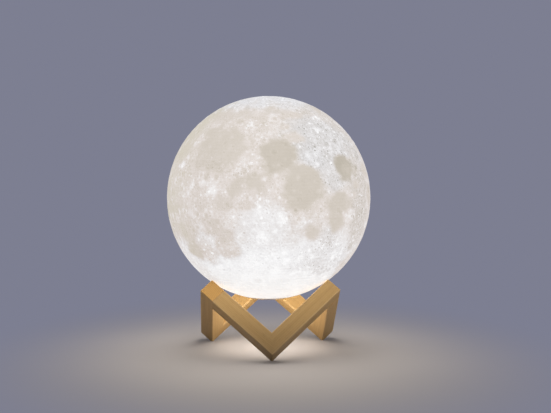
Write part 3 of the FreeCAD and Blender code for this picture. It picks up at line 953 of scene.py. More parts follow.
SEAS = (
    Sea("Imbrium", 33.5, -18.5, 13.0, 16.5, 207),
    Sea("Imbrium south", 22.5, -22.0, 6.0, 8.0, 214),
    Sea("Iridum", 44.5, -31.0, 3.8, 5.0, 207),
    Sea("Serenitatis", 27.5, 18.5, 9.6, 10.0, 198),
    Sea("Tranquillitatis north", 15.5, 30.0, 6.5, 9.5, 202),
    Sea("Tranquillitatis", 8.0, 31.0, 7.5, 11.5, 201),
    Sea("Tranquillitatis south", 1.0, 27.0, 4.6, 7.5, 202),
    Sea("Crisium", 16.6, 61.5, 6.8, 8.6, 190),
    Sea("Fecunditatis", -2.0, 53.5, 6.4, 8.6, 203),
    Sea("Fecunditatis south", -10.0, 51.0, 7.6, 6.2, 205),
    Sea("Nectaris", -16.4, 34.8, 4.6, 5.0, 208),
    Sea("Vaporum", 12.5, 4.8, 4.8, 6.2, 205),
    Sea("Aestuum", 10.0, -6.5, 4.4, 5.6, 207),
    Sea("Medii", 1.6, -1.0, 2.8, 5.0, 214),
    Sea("Insularum", 6.0, -27.0, 6.5, 9.0, 216),
    Sea("Insularum east", 2.5, -14.0, 4.4, 7.0, 212),
    Sea("Cognitum", -9.5, -22.0, 5.0, 6.5, 212),
    Sea("Nubium", -22.0, -15.8, 7.6, 8.0, 218),
    Sea("Nubium north", -14.0, -15.0, 4.0, 5.0, 213),
    Sea("Humorum", -24.0, -41.0, 5.8, 6.4, 210),
    Sea("Procellarum north", 38.0, -58.0, 12.0, 13.0, 214),
    Sea("Procellarum", 18.0, -60.0, 15.0, 14.0, 221),
    Sea("Procellarum east", 17.0, -38.0, 9.0, 9.0, 217),
    Sea("Procellarum south", -3.0, -52.0, 12.0, 12.0, 221),
    Sea("Procellarum foot", -13.0, -43.0, 6.5, 8.0, 213),
    Sea("Roris", 53.0, -52.0, 4.5, 13.0, 213),
    Sea("Frigoris west", 58.0, -24.0, 5.0, 16.0, 213),
    Sea("Frigoris", 59.0, 4.0, 5.4, 17.0, 212),
    Sea("Frigoris east", 56.0, 29.0, 4.4, 12.0, 214),
    Sea("Somniorum", 37.5, 30.0, 3.6, 6.0, 213),
    Sea("Mortis", 45.0, 27.0, 2.2, 3.0, 214),
    Sea("north-eastern limb", 57.0, 81.0, 3.5, 6.0, 208),
    Sea("Marginis", 13.0, 86.0, 4.0, 5.0, 212),
    Sea("eastern limb", -1.5, 87.0, 5.0, 5.0, 208),
    Sea("Undarum", 6.8, 68.5, 2.2, 3.6, 212),
    Sea("Spumans", 1.1, 65.0, 1.8, 2.2, 212),
    Sea("Australe", -42.0, 90.0, 12.0, 16.0, 220),
    Sea("Orientale", -19.4, -92.8, 4.6, 4.8, 205),
    Sea("Moscoviense", 27.3, 147.9, 4.0, 4.2, 200),
    Sea("Ingenii", -33.7, 163.5, 4.0, 5.0, 205),
    Sea("far side, dark floor", -20.4, 129.1, 2.6, 2.8, 196),
    Sea("far side, dim floor", -36.0, -152.0, 3.4, 4.0, 212),
    Sea("western dark floor", -5.5, -68.3, 2.8, 2.4, 205),
    Sea("northern dark floor", 51.6, -9.4, 1.6, 2.5, 205),
)

LANDS = (
    Land("far side", 5.0, 180.0, 80.0, 95.0, 230, 0.85, 0.15, 0.35),
    Land("far side, great basin", -50.0, -172.0, 24.0, 26.0, 219, 0.80),
    Land("far side, pale basin", -4.0, -157.0, 14.0, 16.0, 237, 0.90),
    Land("far side, dim basin", 6.0, 141.0, 12.0, 14.0, 224, 0.90),
    Land("far side, pale north", 22.0, -148.0, 16.0, 18.0, 236, 0.90),
    Land("southern highlands", -48.0, 8.0, 36.0, 62.0, 246, 0.55, 0.75),
    Land("central highlands", -10.0, 8.0, 14.0, 15.0, 235, 0.60, 0.45),
    Land("southern polar land", -58.0, -14.0, 20.0, 40.0, 247, 0.35, 0.6),
    Land("south-eastern highlands", -34.0, 48.0, 14.0, 22.0, 231, 0.90, 0.6, 0.6),
    Land("east of Nectaris", -19.0, 45.5, 7.0, 7.0, 222, 0.95, 0.5, 0.8),
    Land("west of Nubium", -25.0, -31.0, 9.0, 9.0, 220, 0.85),
    Land("north-eastern highlands", 32.0, 58.0, 29.0, 34.0, 217, 0.90, 0.70, 0.90),
    Land("Taurus", 24.0, 39.0, 8.0, 8.0, 219, 0.90, 0.80, 0.9),
    Land("shore of Crisium", 10.0, 50.0, 7.0, 8.0, 217, 0.90, 0.6, 0.5),
    Land("Alps", 45.0, 3.0, 6.0, 9.0, 214, 0.95),
    Land("Caucasus", 36.0, 9.0, 7.0, 3.4, 220, 0.95),
    Land("Apennines", 19.0, -2.0, 4.5, 7.0, 218, 0.95),
    Land("eastern limb", -2.0, 72.0, 32.0, 13.0, 212, 1.00, 0.2, 0.8),
    Land("northern polar land", 74.0, 10.0, 14.0, 80.0, 214, 0.95, 0.2, 0.3),
    Land("south-western limb", -42.0, -58.0, 20.0, 16.0, 236, 0.55),
)

RAYED_CRATERS = (
    RayedCrater("great southern", -43.3, -11.2, 2.8, 46.0, 0.6),
    RayedCrater("great western", 9.6, -20.8, 2.6, 13.0, 1.2),
    RayedCrater("lesser western", 8.1, -38.0, 1.2, 8.0, 0.9),
    RayedCrater("brightest western", 23.7, -49.0, 1.6, 6.0, 1.3),
    RayedCrater("by Crisium", 15.8, 47.6, 1.2, 9.0, 0.9),
    RayedCrater("by Fecunditatis", -8.9, 61.1, 3.6, 8.0, 0.5),
    RayedCrater("south-eastern", -32.5, 54.2, 2.2, 12.0, 0.7),
    RayedCrater("by Nectaris", -11.4, 26.4, 2.6, 5.0, 0.4),
    RayedCrater("northern", 73.4, -10.1, 1.7, 16.0, 0.5),
    RayedCrater("south of Serenitatis", 16.2, 16.0, 1.2, 3.5, 0.9),
    RayedCrater("by Vaporum", 14.6, 9.2, 1.2, 3.5, 0.9),
    RayedCrater("south-western", -24.7, -65.3, 1.3, 9.0, 0.7),
    RayedCrater("east of Imbrium", 30.7, 3.5, 1.3, 4.0, 0.5),
    RayedCrater("in Serenitatis", 21.8, 17.9, 0.7, 3.0, 0.4),
    RayedCrater("central", -4.4, -8.6, 1.2, 5.0, 0.7),
    RayedCrater("far side, north-eastern", 36.0, 102.9, 0.9, 16.0, 0.8),
    RayedCrater("far side, western", 18.4, -113.5, 2.0, 12.0, 0.6),
    RayedCrater("far side, northern", 22.4, -163.1, 2.4, 16.0, 0.8),
    RayedCrater("far side, eastern", -5.0, 123.1, 1.3, 9.0, 0.7),
)

DARKEST, BRIGHTEST = 188.0, 252.0       # the tones that a level of 0 and of 1 stand for


@dataclass
class MoonGlobe:
    """The printed shell, with its relief and the values that its finish reads."""

    outer: float = 75.0 * MM
    wall: float = 1.6 * MM
    opening: float = 21.0 * MM          # its radius
    columns: int = 480                  # of faces, round the globe
    rows: int = 182                     # of faces, from the top down to the opening
    inner_rows: int = 12                # and back up inside
    east_turn: float = -13.4            # degrees that the near side is turned from facing -Y
    east_rise: float = 3.8              # degrees that its eastern edge is raised
    relief_depth: float = 0.5 * MM
    relief_rest: float = 0.62           # the height, from 0 to 1, that lies on the plain globe
    crater_count: int = 3200
    crater_seed: int = 7
    rim_plain: float = 9.0              # degrees round the opening where the relief fades out
    merge_within: float = 0.001 * MM    # points this near to each other become one

    def build(self, nodes: Nodes) -> None:
        """Makes the shell, replaces the frame's plain one and dresses the collar.

        Args:
            nodes: The frame's nodes by name.
        """
        low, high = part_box("moon_globe")
        middle = np.array([(low.x + high.x) / 2, (low.y + high.y) / 2, high.z - self.outer])
        shell = self._plain_shell(MoonFinish().build())
        mesh = shell.data
        points = np.empty(len(mesh.vertices) * 3, np.float32)
        mesh.vertices.foreach_get("co", points)
        points = points.reshape(-1, 3).astype(float)
        away = np.linalg.norm(points, axis=1)
        outside = np.nonzero(away > self.outer - self.wall / 2)[0]
        directions = points[outside] / away[outside, None]
        surface = MoonSurface(directions, self)
        shift = (surface.height - self.relief_rest) * self._fade(directions) * self.relief_depth
        points[outside] += directions * shift[:, None]
        points += middle
        mesh.vertices.foreach_set("co", points.astype(np.float32).ravel())
        for name, values in surface.tones().items():
            stored = np.zeros(len(points), np.float32)
            stored[outside] = values
            mesh.attributes.new(name, "FLOAT", "POINT").data.foreach_set("value", stored)
        mesh.polygons.foreach_set("use_smooth", np.ones(len(mesh.polygons), bool))
        mesh.update()
        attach(shell, "globe")
        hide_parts("moon_globe")
        collar = MouldedFinish("collar_plastic", (0.62, 0.61, 0.59), 0.5).build()
        dress(nodes["globe_collar"], collar)
        log.info("globe: %d faces, relief %.2f to %.2f mm", len(mesh.polygons), shift.min() / MM,
                 shift.max() / MM)

    def _plain_shell(self, finish: Material) -> Object:
        """Turns the shell's outline about Z: from the top pole down the outside, and back up inside.

        Args:
            finish: The shell's finish.

        Returns:
            The shell about its own centre, with no relief yet.
        """
        tree = GeometryTree("globe_shell", {
            "Outer Radius": self.outer, "Wall": self.wall, "Opening Radius": self.opening,
            "Columns": self.columns, "Rows": self.rows, "Inner Rows": self.inner_rows})
        outer, opening = tree.size("Outer Radius"), tree.size("Opening Radius")
        inner = outer - tree.size("Wall")
        columns, rows, inner_rows = (tree.size(label) for label in ("Columns", "Rows", "Inner Rows"))
        grid = tree.node("GeometryNodeMeshGrid", {}, {
            "Size X": 1.0, "Size Y": 1.0, "Vertices X": rows + inner_rows + 2, "Vertices Y": columns + 1})
        row = ((tree.index() + 0.5) / (columns + 1)).whole()
        column = tree.index() - row * (columns + 1)
        inside = row.over(rows + 0.5)
        down_outside = (math.pi - (opening / outer).arcsine()) * row / rows
        down_inside = (math.pi - (opening / inner).arcsine()) * (rows + inner_rows + 1 - row) / inner_rows
        down = down_outside + (down_inside - down_outside) * inside
        radius = outer + (inner - outer) * inside
        turn = column * math.tau / columns
        flat = radius * down.sine()
        placed = tree.node("GeometryNodeSetPosition", {}, {
            "Geometry": grid.outputs["Mesh"],
            "Position": tree.vector(flat * turn.cosine(), flat * turn.sine(), radius * down.cosine())})
        closed = tree.node("GeometryNodeMergeByDistance", {}, {
            "Geometry": placed.outputs[0], "Distance": self.merge_within})
        return tree.make("moon_shell", closed.outputs[0], finish)

    def _fade(self, directions: np.ndarray) -> np.ndarray:
        """Says how much of the relief a point has: all of it, but none at the opening's rim.

        Args:
            directions: Unit vectors from the globe's centre.

        Returns:
            A number from 0 to 1 for each.
        """
        rim = math.degrees(math.asin(self.opening / self.outer))
        from_foot = np.degrees(np.arccos(np.clip(-directions[:, 2], -1.0, 1.0)))
        return smooth_step(from_foot, rim, rim + self.rim_plain)


class MoonSurface:
    """Works out seas, highlands, craters and rays at points of the globe.

    Tones run from 0 to 255, heights are shares of the relief's depth, and angles are in degrees.
    """

    RAGGED_CLOUD = (8.0, 5, 0.0)        # the scale, finer layers and shift of each cloud, see _cloud
    BROAD_CLOUD = (2.4, 3, 4.0)
    MOUNTAIN_CLOUD = (20.0, 4, 9.0)
    PLAIN_TONE = 218.0                  # of the ground that no land or sea covers
    PLAIN_ROUGH = 0.62                  # how strong the fine craters are there, from 0 to 1
    BROAD_TONE = 5.0                    # how much the broad cloud changes the ground's tone
    RAGGED_TONE = 4.0                   # the same for the ragged cloud
    SEA_RAGGED_TONE = 1.6               # the same for the ragged cloud in a sea
    SHINE_TONE = 11.0                   # what a crater's light parts add
    RAY_TONE = 26.0                     # what a bright ray adds to the darkest ground
    RAY_SPAN = 120.0                    # tones above the darkest at which a ray would add nothing
    SEA_DEPTH = 0.28                    # what a sea takes off the height, and the next three add to it
    BROAD_HEIGHT = 0.08
    MOUNTAIN_HEIGHT = 0.16
    CRATER_HEIGHT = 0.30
    LAND_RAGGED = 0.18                  # how ragged a land's edge is, as a share of its size
    LAND_EDGE = (0.45, 1.20)            # where it starts to fade and where it ends, as shares of its size
    SHORE_RAGGED = (0.40, 2.5)          # the same for a sea: a share of its size, or an angle if less
    SHORE_SOFT = (0.32, 2.4)            # half the width over which a shore fades, given in the same way
    DEEP_TONES = (224.0, 22.0)          # the tone of a sea that isn't sunk, and how much less is full depth
    LEAST_DEPTH = 0.2                   # how deep a pale sea still lies, as a share of a dark one
    SMOOTH_TONES = (216.0, 10.0)        # the same two numbers for how smooth its ground is
    SMOOTHED = 0.50                     # what a dark sea takes off the roughness
    WEST = (30.0, 62.0, 100.0, 130.0)   # degrees west over which the western tone sets in, and then ends
    PAINTED_TOP_LIGHT = (0.83, 1.0)                 # heights, as shares of the radius, over which the painted top light sets in
    PAINTED_TOP_LIGHT_RAGGED = 0.05                 # how ragged the painted top light's edge is, as a share of the radius
    CRATER_SIZES = (0.85, 0.40, 2.4, 3.8)   # least radius, spread, how fast they thin out, greatest radius
    CRATER_REACH = 1.9                  # how far out a crater changes the ground, in radii
    SMOOTH_CHANCE = 0.15                # chance that a crater is kept on ground that isn't rough at all
    PEAK_FROM = 2.4                     # radius from which a crater has a peak in its middle
    STREAKS = 11                        # round each young crater
    STREAK_WIDTHS = (0.05, 0.15)        # in radians
    STREAK_LENGTHS = (0.5, 1.0)         # as shares of the crater's reach

    def __init__(self, directions: np.ndarray, globe: MoonGlobe) -> None:
        """Works out everything.

        Args:
            directions: Unit vectors from the globe's centre.
            globe: The globe, with the way that its near side is turned and its craters.
        """
        self.directions = directions
        self.turn = np.array(Matrix.Rotation(math.radians(globe.east_turn), 3, "Z")
                             @ Matrix.Rotation(math.radians(-globe.east_rise), 3, "Y"))
        self.random = np.random.default_rng(globe.crater_seed)
        self.ragged = self._cloud(*self.RAGGED_CLOUD)
        self.broad = self._cloud(*self.BROAD_CLOUD)
        self.sea = np.zeros(len(directions))
        self.tone = self.PLAIN_TONE + self.BROAD_TONE * self.broad + self.RAGGED_TONE * self.ragged
        self.rough = np.full(len(directions), self.PLAIN_ROUGH)
        self.cool, self.pocked = np.zeros(len(directions)), np.zeros(len(directions))
        self._lay_lands()
        self._lay_seas()
        self.craters, self.shine = self._scattered_craters(globe.crater_count)
        self.ray = self._rays()
        mountains = self._cloud(*self.MOUNTAIN_CLOUD) * (1.0 - self.sea)
        self.height = np.clip(
            globe.relief_rest - self.SEA_DEPTH * self.sea + self.BROAD_HEIGHT * self.broad
            + self.MOUNTAIN_HEIGHT * mountains + self.CRATER_HEIGHT * self.craters, 0.0, 1.0)

    def tones(self) -> dict[str, np.ndarray]:
        """Gives the values that the finish reads.

        Returns:
            Numbers by attribute name.
        """
        ray_left = 1.0 - (self.tone - DARKEST) / self.RAY_SPAN
        tone = self.tone + self.SHINE_TONE * self.shine + self.RAY_TONE * self.ray * ray_left
        moon = self.directions @ self.turn
        west = -np.degrees(np.arctan2(moon[:, 0], -moon[:, 1]))
        # Painted light: the globe's top, with a ragged edge.
        crown = self.directions[:, 2] + self.PAINTED_TOP_LIGHT_RAGGED * self.ragged
        return {"level": (tone - DARKEST) / (BRIGHTEST - DARKEST), "rough": self.rough,
                "cool": self.cool, "pocked": self.pocked,
                "west": smooth_step(west, *self.WEST[:2]) * (1.0 - smooth_step(west, *self.WEST[2:])),
                "crown": smooth_step(crown, *self.PAINTED_TOP_LIGHT)}

    def _to(self, north: float, east: float) -> np.ndarray:
        """Turns a latitude and a longitude in degrees into a unit vector."""
        up, turn = math.radians(north), math.radians(east)
        return self.turn @ (math.cos(up) * math.sin(turn), -math.cos(up) * math.cos(turn), math.sin(up))

    def _cloud(self, scale: float, octaves: int, shift: float) -> np.ndarray:
        """Gives soft noise at each point.

        Args:
            scale: Blotches in a radius.
            octaves: How many finer layers it has.
            shift: Moves the pattern, so that two clouds differ.

        Returns:
            Numbers about -1 to 1.
        """
        start = Vector((shift, shift * 0.7, -shift))
        return np.array([noise.fractal(Vector(d) * scale + start, 0.9, 2.0, octaves)
                         for d in self.directions])

    def _local(self, north: float, east: float) -> tuple[np.ndarray, np.ndarray]:
        """Measures each point from a place on the globe.

        Args:
            north: Latitude of the place in degrees.
            east: Longitude of the place in degrees.

        Returns:
            How far each point lies to the east and to the north of it, in degrees of arc.
        """
        centre = self._to(north, east)
        east_way = np.cross(self.turn[:, 2], centre)
        east_way /= np.linalg.norm(east_way)
        north_way = np.cross(centre, east_way)
        away = np.degrees(np.arccos(np.clip(self.directions @ centre, -1.0, 1.0)))
        x, y = self.directions @ east_way, self.directions @ north_way
        length = np.maximum(np.hypot(x, y), 1e-9)
        return away * x / length, away * y / length

    def _reach(self, one: Sea | Land) -> np.ndarray:
        """Says how far out each point lies on a sea or land: 0 in its middle, 1 on its edge."""
        x, y = self._local(one.north, one.east)
        return np.hypot(x / one.half_east, y / one.half_north)

    def _lay_lands(self) -> None:
        """Brightens or dims the highlands, with wide soft edges."""
        for one in LANDS:
            share = 1.0 - smooth_step(self._reach(one) + self.LAND_RAGGED * self.ragged, *self.LAND_EDGE)
            self.tone += (one.tone + self.RAGGED_TONE * self.ragged - self.tone) * share
            self.rough += (one.rough - self.rough) * share
            self.cool += (one.cool - self.cool) * share
            self.pocked += (one.pocked - self.pocked) * share

    def _lay_seas(self) -> None:
        """Darkens and smooths the seas, with ragged soft shores."""
        for one in SEAS:
            size = min(one.half_east, one.half_north)
            ragged, soft = (min(most, arc / size) for most, arc in (self.SHORE_RAGGED, self.SHORE_SOFT))
            deep, smooth = ((start - one.tone) / span for start, span in (self.DEEP_TONES, self.SMOOTH_TONES))
            share = 1.0 - smooth_step(self._reach(one) + self.ragged * ragged, 1.0 - soft, 1.0 + soft)
            self.sea = np.maximum(self.sea, share * min(max(deep, self.LEAST_DEPTH), 1.0))
            floor = one.tone + self.SEA_RAGGED_TONE * self.ragged
            self.tone = np.minimum(self.tone, self.tone + (floor - self.tone) * share)
            rough = self.PLAIN_ROUGH - self.SMOOTHED * min(max(smooth, 0.0), 1.0)
            self.rough += (rough - self.rough) * share
            self.cool *= 1.0 - share
            self.pocked *= 1.0 - share

    def _scattered_craters(self, count: int) -> tuple[np.ndarray, np.ndarray]:
        """Scatters craters, fewer in the seas, each with a sunk floor and a raised rim.

        Args:
            count: How many are drawn.

        Returns:
            Their height at each point, about -1 to 1, and how much lighter or darker each point is.
        """
        least, spread, thinning, greatest = self.CRATER_SIZES
        height, shine = np.zeros(len(self.directions)), np.zeros(len(self.directions))
        centres = self.random.normal(size=(count, 3))
        centres /= np.linalg.norm(centres, axis=1, keepdims=True)
        sizes = np.minimum(least + spread * self.random.pareto(thinning, count), greatest)
        chances, glints = self.random.random(count), self.random.random(count)
        for centre, size, chance, glint in zip(centres, sizes, chances, glints):
            closeness = self.directions @ centre
            near = np.nonzero(closeness > math.cos(math.radians(size * self.CRATER_REACH)))[0]
            if len(near) == 0:
                continue
            rough = self.rough[near].mean()
            if chance > self.SMOOTH_CHANCE + rough:
                continue
            away = np.degrees(np.arccos(np.clip(closeness[near], -1.0, 1.0))) / size
            floor = 1.0 - smooth_step(away, 0.45, 0.98)
            rim = np.exp(-((away - 1.05) / 0.20) ** 2)
            peak = np.exp(-(away / 0.16) ** 2) * (0.5 if size > self.PEAK_FROM else 0.0)
            height[near] = height[near] * (1.0 - 0.6 * floor) + (0.45 + 0.35 * chance) * (
                0.85 * rim - 0.95 * floor + peak)
            light = 1.1 if glint > 0.62 else -0.8
            shine[near] += (0.35 + rough * 0.75) * (0.75 * rim + light * floor + peak)
        return np.clip(height, -1.3, 1.3), np.clip(shine, -1.8, 2.2)

    def _rays(self) -> np.ndarray:
        """Returns how bright the young craters' streaks make each point."""
        bright = np.zeros(len(self.directions))
        for one in RAYED_CRATERS:
            x, y = self._local(one.north, one.east)
            away = np.hypot(x, y)
            bearing = np.arctan2(y, x)
            halo = np.exp(-(away / (one.across * 1.1)) ** 2)
            fall = np.exp(-away / (one.reach * 0.42))
            streaks = np.zeros(len(away))
            for _ in range(self.STREAKS):
                heading = self.random.uniform(-math.pi, math.pi)
                width = self.random.uniform(*self.STREAK_WIDTHS)
                length = one.reach * self.random.uniform(*self.STREAK_LENGTHS)
                turned = np.angle(np.exp(1j * (bearing - heading)))
                lobe = np.exp(-(turned / width) ** 2) * (1.0 - smooth_step(away, length * 0.6, length))
                streaks = np.maximum(streaks, lobe)
            patch = 0.75 + 0.5 * self.ragged
            bright += one.bright * (halo * 0.9 + streaks * fall * 0.8 * patch)
        return np.clip(bright, 0.0, 1.4)


# ---------------------------------------------------------------- light unit
@dataclass
class LightUnit:
    """The cap, housing, electronics and lights under and inside the globe."""

    def dress(self, nodes: Nodes) -> None:
        """Gives each of the unit's nodes its finish.

        Args:
            nodes: The frame's nodes by name.
        """
        white = MouldedFinish("white_plastic", (0.74, 0.735, 0.72)).build()
        black = MouldedFinish("black_plastic", (0.022, 0.022, 0.024), 0.38).build()
        steel = PlatedFinish("steel", (0.56, 0.56, 0.57)).build()
        gilt = PlatedFinish("gold_contact", (0.80, 0.58, 0.26), 0.2).build()
        clear = MouldedFinish("clear_plastic", (0.80, 0.82, 0.84), 0.12, 600.0, 0.005 * MM).build()
        finishes = {
            "base_cap": white,
            "light_housing": white,
            "battery_connector": white,
            "touch_ring": TurnedMetalFinish("touch_metal", (0.66, 0.66, 0.67)).build(),
            "cap_screws": steel,
            "led_screws": steel,
            "socket_shell": PlatedFinish("socket_metal", (0.62, 0.62, 0.63), 0.24).build(),
            "socket_tongue": black,
            "control_chips": black,
            "power_inductor": MouldedFinish("ferrite", (0.05, 0.048, 0.045), 0.6, 900.0, 0.05 * MM).build(),
            "control_board": BoardFinish("board", (0.020, 0.150, 0.060), (0.06, 0.30, 0.14)).build(),
            "light_pipe": clear,
            "indicator_led": clear,
            "contact_barrel": gilt,
            "contact_plunger": gilt,
            "battery_cell": FoilFinish().build(),
            "battery_cushions": FoamFinish().build(),
            "battery_lead_plus": MouldedFinish("red_lead", (0.50, 0.02, 0.02), 0.35).build(),
            "battery_lead_minus": MouldedFinish("black_lead", (0.02, 0.02, 0.02), 0.35).build(),
            "led_board": BoardFinish("light_board", (0.78, 0.78, 0.76), (0.66, 0.66, 0.65)).build(),
            "led_chips": MouldedFinish("light_chip", (0.80, 0.79, 0.76), 0.4).build(),
            "led_leads": MouldedFinish("light_lead", (0.45, 0.45, 0.46), 0.35).build(),
            "diffuser_dome": MouldedFinish("frosted_plastic", (0.80, 0.79, 0.77), 0.6, 1200.0,
                                           glow=(0.9, 0.84, 0.74)).build(),
        }
        for name, material in finishes.items():
            dress(nodes[name], material)
        log.info("light unit: %d nodes dressed", len(finishes))


@dataclass
class SmallParts:
    """The light unit's smallest repeated parts, which Geometry Nodes lay out on the frame's nodes."""

    contacts: int = 12                  # on each face of the socket's tongue
    contact_pitch: float = 0.50 * MM
    contact_width: float = 0.26 * MM
    contact_length: float = 3.2 * MM
    contact_depth: float = 0.06 * MM
    contact_from_tip: float = 0.45 * MM
    tongue: float = 0.7 * MM            # through the tongue
    chip: float = 5.0 * MM
    chip_spread: float = 10.4 * MM      # from one control chip's middle to the other's
    legs: int = 8                       # along each side of a control chip
    leg_pitch: float = 0.55 * MM
    leg_width: float = 0.24 * MM
    leg_reach: float = 0.55 * MM
    leg_metal: float = 0.12 * MM        # through the metal of a leg
    leg_drop: float = 0.6 * MM
    blocks: int = 7                     # small parts in a row on the control board
    block_pitch: float = 2.3 * MM
    block_column: float = 9.9 * MM      # between the rows
    block_within: float = 10.6 * MM     # from the axis
    block_length: float = 1.5 * MM
    block_height: float = 0.48 * MM
    tin_length: float = 0.16 * MM       # of a block's tinned end
    tin_height: float = 0.52 * MM
    turn_seed: int = 4                  # draws which way each block lies
    window: float = 1.05 * MM           # radius of a light's window
    window_depth: float = 0.08 * MM
    window_sides: int = 20
    outer_lights: int = 8
    outer_ring: float = 9.6 * MM
    inner_lights: int = 4
    inner_ring: float = 3.9 * MM

    def build(self) -> None:
        """Makes all of them, on the light unit."""
        gilt = PlatedFinish("contact_gilt", (0.83, 0.60, 0.25), 0.2).build()
        tin = PlatedFinish("tin", (0.60, 0.60, 0.60), 0.34).build()
        clay = MouldedFinish("fired_clay", (0.105, 0.072, 0.045), 0.45).build()
        yellow = MouldedFinish("light_window", (0.88, 0.66, 0.14), 0.35, glow=(1.0, 0.90, 0.66)).build()
        made = [
            (self._contacts(gilt), "gold_contact"),
            (self._legs(tin), "steel"),
            (self._blocks("board_blocks", clay, 0.0), "black_plastic"),
            (self._blocks("board_block_ends", tin, self.tin_length), "steel"),
            (self._windows(yellow), "light_chip"),
        ]
        for piece, slot in made:
            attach(piece, "light_unit")
            log.info("small parts: %s, %d faces", piece.name, len(piece.data.polygons))

    def _contacts(self, finish: Material) -> Object:
        """Lays the contact strips along both faces of the socket's tongue.

        Args:
            finish: Their finish.

        Returns:
            The strips.
        """
        tree = GeometryTree("socket_contacts", {
            "Contacts": self.contacts, "Pitch": self.contact_pitch, "Width": self.contact_width,
            "Length": self.contact_length, "Tongue": self.tongue})
        pitch = tree.size("Pitch")
        strip = tree.block(tree.size("Width"), self.contact_depth, tree.size("Length"))
        first = tree.vector((tree.size("Contacts") - 1) * pitch * -0.5, 0.0, 0.0)
        row = tree.repeat(tree.row(tree.size("Contacts"), first, tree.vector(pitch, 0.0, 0.0)), strip)
        face = tree.size("Tongue") * 0.5
        both = tree.joined(tree.moved(row, 0.0, face, 0.0), tree.moved(row, 0.0, face * -1, 0.0))
        low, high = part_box("socket_tongue")
        middle = low.z + self.contact_from_tip + self.contact_length / 2
        placed = tree.moved(both, (low.x + high.x) / 2, (low.y + high.y) / 2, middle)
        return tree.make("socket_contacts", placed, finish)

    def _legs(self, finish: Material) -> Object:
        """Lays the bent legs along the four sides of each control chip.

        Args:
            finish: Their finish.

        Returns:
            The legs.
        """
        tree = GeometryTree("chip_legs", {
            "Legs": self.legs, "Pitch": self.leg_pitch, "Width": self.leg_width, "Reach": self.leg_reach,
            "Chip": self.chip, "Spread": self.chip_spread})
        width, reach, pitch, edge = (tree.size(k) for k in ("Width", "Reach", "Pitch", "Chip"))
        metal, drop = self.leg_metal, self.leg_drop
        toe = tree.moved(tree.block(reach, width, metal), reach * 0.5, 0.0, metal / 2)
        shin = tree.moved(tree.block(metal, width, drop), metal / 2, 0.0, drop / 2)
        first = tree.vector(edge * 0.5, (tree.size("Legs") - 1) * pitch * -0.5, 0.0)
        side = tree.repeat(tree.row(tree.size("Legs"), first, tree.vector(0.0, pitch, 0.0)),
                           tree.joined(toe, shin))
        still = tree.vector(0.0, 0.0, 0.0)
        around = tree.repeat(tree.row(4, still, still), side, tree.index() * QUARTER_TURN)
        spread = tree.size("Spread")
        chips = tree.row(2, tree.vector(spread * -0.5, 0.0, 0.0), tree.vector(spread, 0.0, 0.0))
        low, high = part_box("control_chips")
        placed = tree.moved(tree.repeat(chips, around), (low.x + high.x) / 2, (low.y + high.y) / 2, low.z)
        return tree.make("chip_legs", placed, finish)

    def _blocks(self, name: str, finish: Material, end: float) -> Object:
        """Lays small parts in three rows on the control board, each turned one way or the other.

        Args:
            name: The piece's name.
            finish: Their finish.
            end: Length of a part's tinned end, to make only the ends, or 0 to make the parts between.

        Returns:
            The parts.
        """
        tree = GeometryTree(name, {
            "Blocks": self.blocks, "Pitch": self.block_pitch, "Column": self.block_column,
            "Within": self.block_within, "Length": self.block_length, "End": end,
            "Seed": self.turn_seed})
        length, pitch, column = (tree.size(k) for k in ("Length", "Pitch", "Column"))
        if end:
            tip = tree.block(tree.size("End"), length * 0.56, self.tin_height)
            piece = tree.joined(*(tree.moved(tip, length * side, 0.0, self.tin_height / 2)
                                  for side in (0.5, -0.5)))
        else:
            block = tree.block(length, length * 0.52, self.block_height)
            piece = tree.moved(block, 0.0, 0.0, self.block_height / 2)
        lines = tree.node("GeometryNodeMeshGrid", {}, {
            "Size X": column * 2, "Size Y": (tree.size("Blocks") - 1) * pitch, "Vertices X": 3,
            "Vertices Y": tree.size("Blocks")})
        where = tree.node("GeometryNodeInputPosition", {}, {})
        reach = tree.value("ShaderNodeVectorMath", {"operation": "LENGTH"}, {0: where.outputs[0]}, "Value")
        kept = tree.node("GeometryNodeDeleteGeometry", {"domain": "POINT"}, {
            "Geometry": lines.outputs["Mesh"], "Selection": reach.over(tree.size("Within"))})
        chance = tree.value("FunctionNodeRandomValue", {"data_type": "FLOAT"},
                            {2: 0.0, 3: 1.99, "Seed": tree.size("Seed")}, 1)
        turn = chance.whole() * QUARTER_TURN
        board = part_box("control_board")[1]
        placed = tree.moved(tree.repeat(kept.outputs[0], piece, turn), 0.0, 0.0, board.z)
        return tree.make(name, placed, finish)

    def _windows(self, finish: Material) -> Object:
        """Lays a round window on each light.

        Args:
            finish: Their finish.

        Returns:
            The windows.
        """
        tree = GeometryTree("light_windows", {
            "Window": self.window, "Outer Lights": self.outer_lights, "Outer Ring": self.outer_ring,
            "Inner Lights": self.inner_lights, "Inner Ring": self.inner_ring})
        window = tree.node("GeometryNodeMeshCylinder", {}, {
            "Vertices": self.window_sides, "Radius": tree.size("Window"),
            "Depth": self.window_depth}).outputs["Mesh"]
        still = tree.vector(0.0, 0.0, 0.0)
        rings = []
        for ring in ("Outer", "Inner"):
            count = tree.size(f"{ring} Lights")
            one = tree.moved(window, tree.size(f"{ring} Ring"), 0.0, 0.0)
            turn = (tree.index() + 0.5) * math.tau / count
            rings.append(tree.repeat(tree.row(count, still, still), one, turn))
        placed = tree.moved(tree.joined(*rings), 0.0, 0.0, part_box("led_chips")[1].z)
        return tree.make("light_windows", placed, finish)


# ---------------------------------------------------------------- studio
@dataclass(frozen=True)
class SoftLamp:
    """A soft square lamp. Lengths in metres, power in watts."""

    name: str
    place: tuple[float, float, float]
    side: float
    power: float
    colour: Colour


@dataclass(frozen=True)
class Glow:
    """A ball of light on the lamp's axis. Lengths in metres, power in watts."""

    name: str
    height: float
    radius: float
    power: float


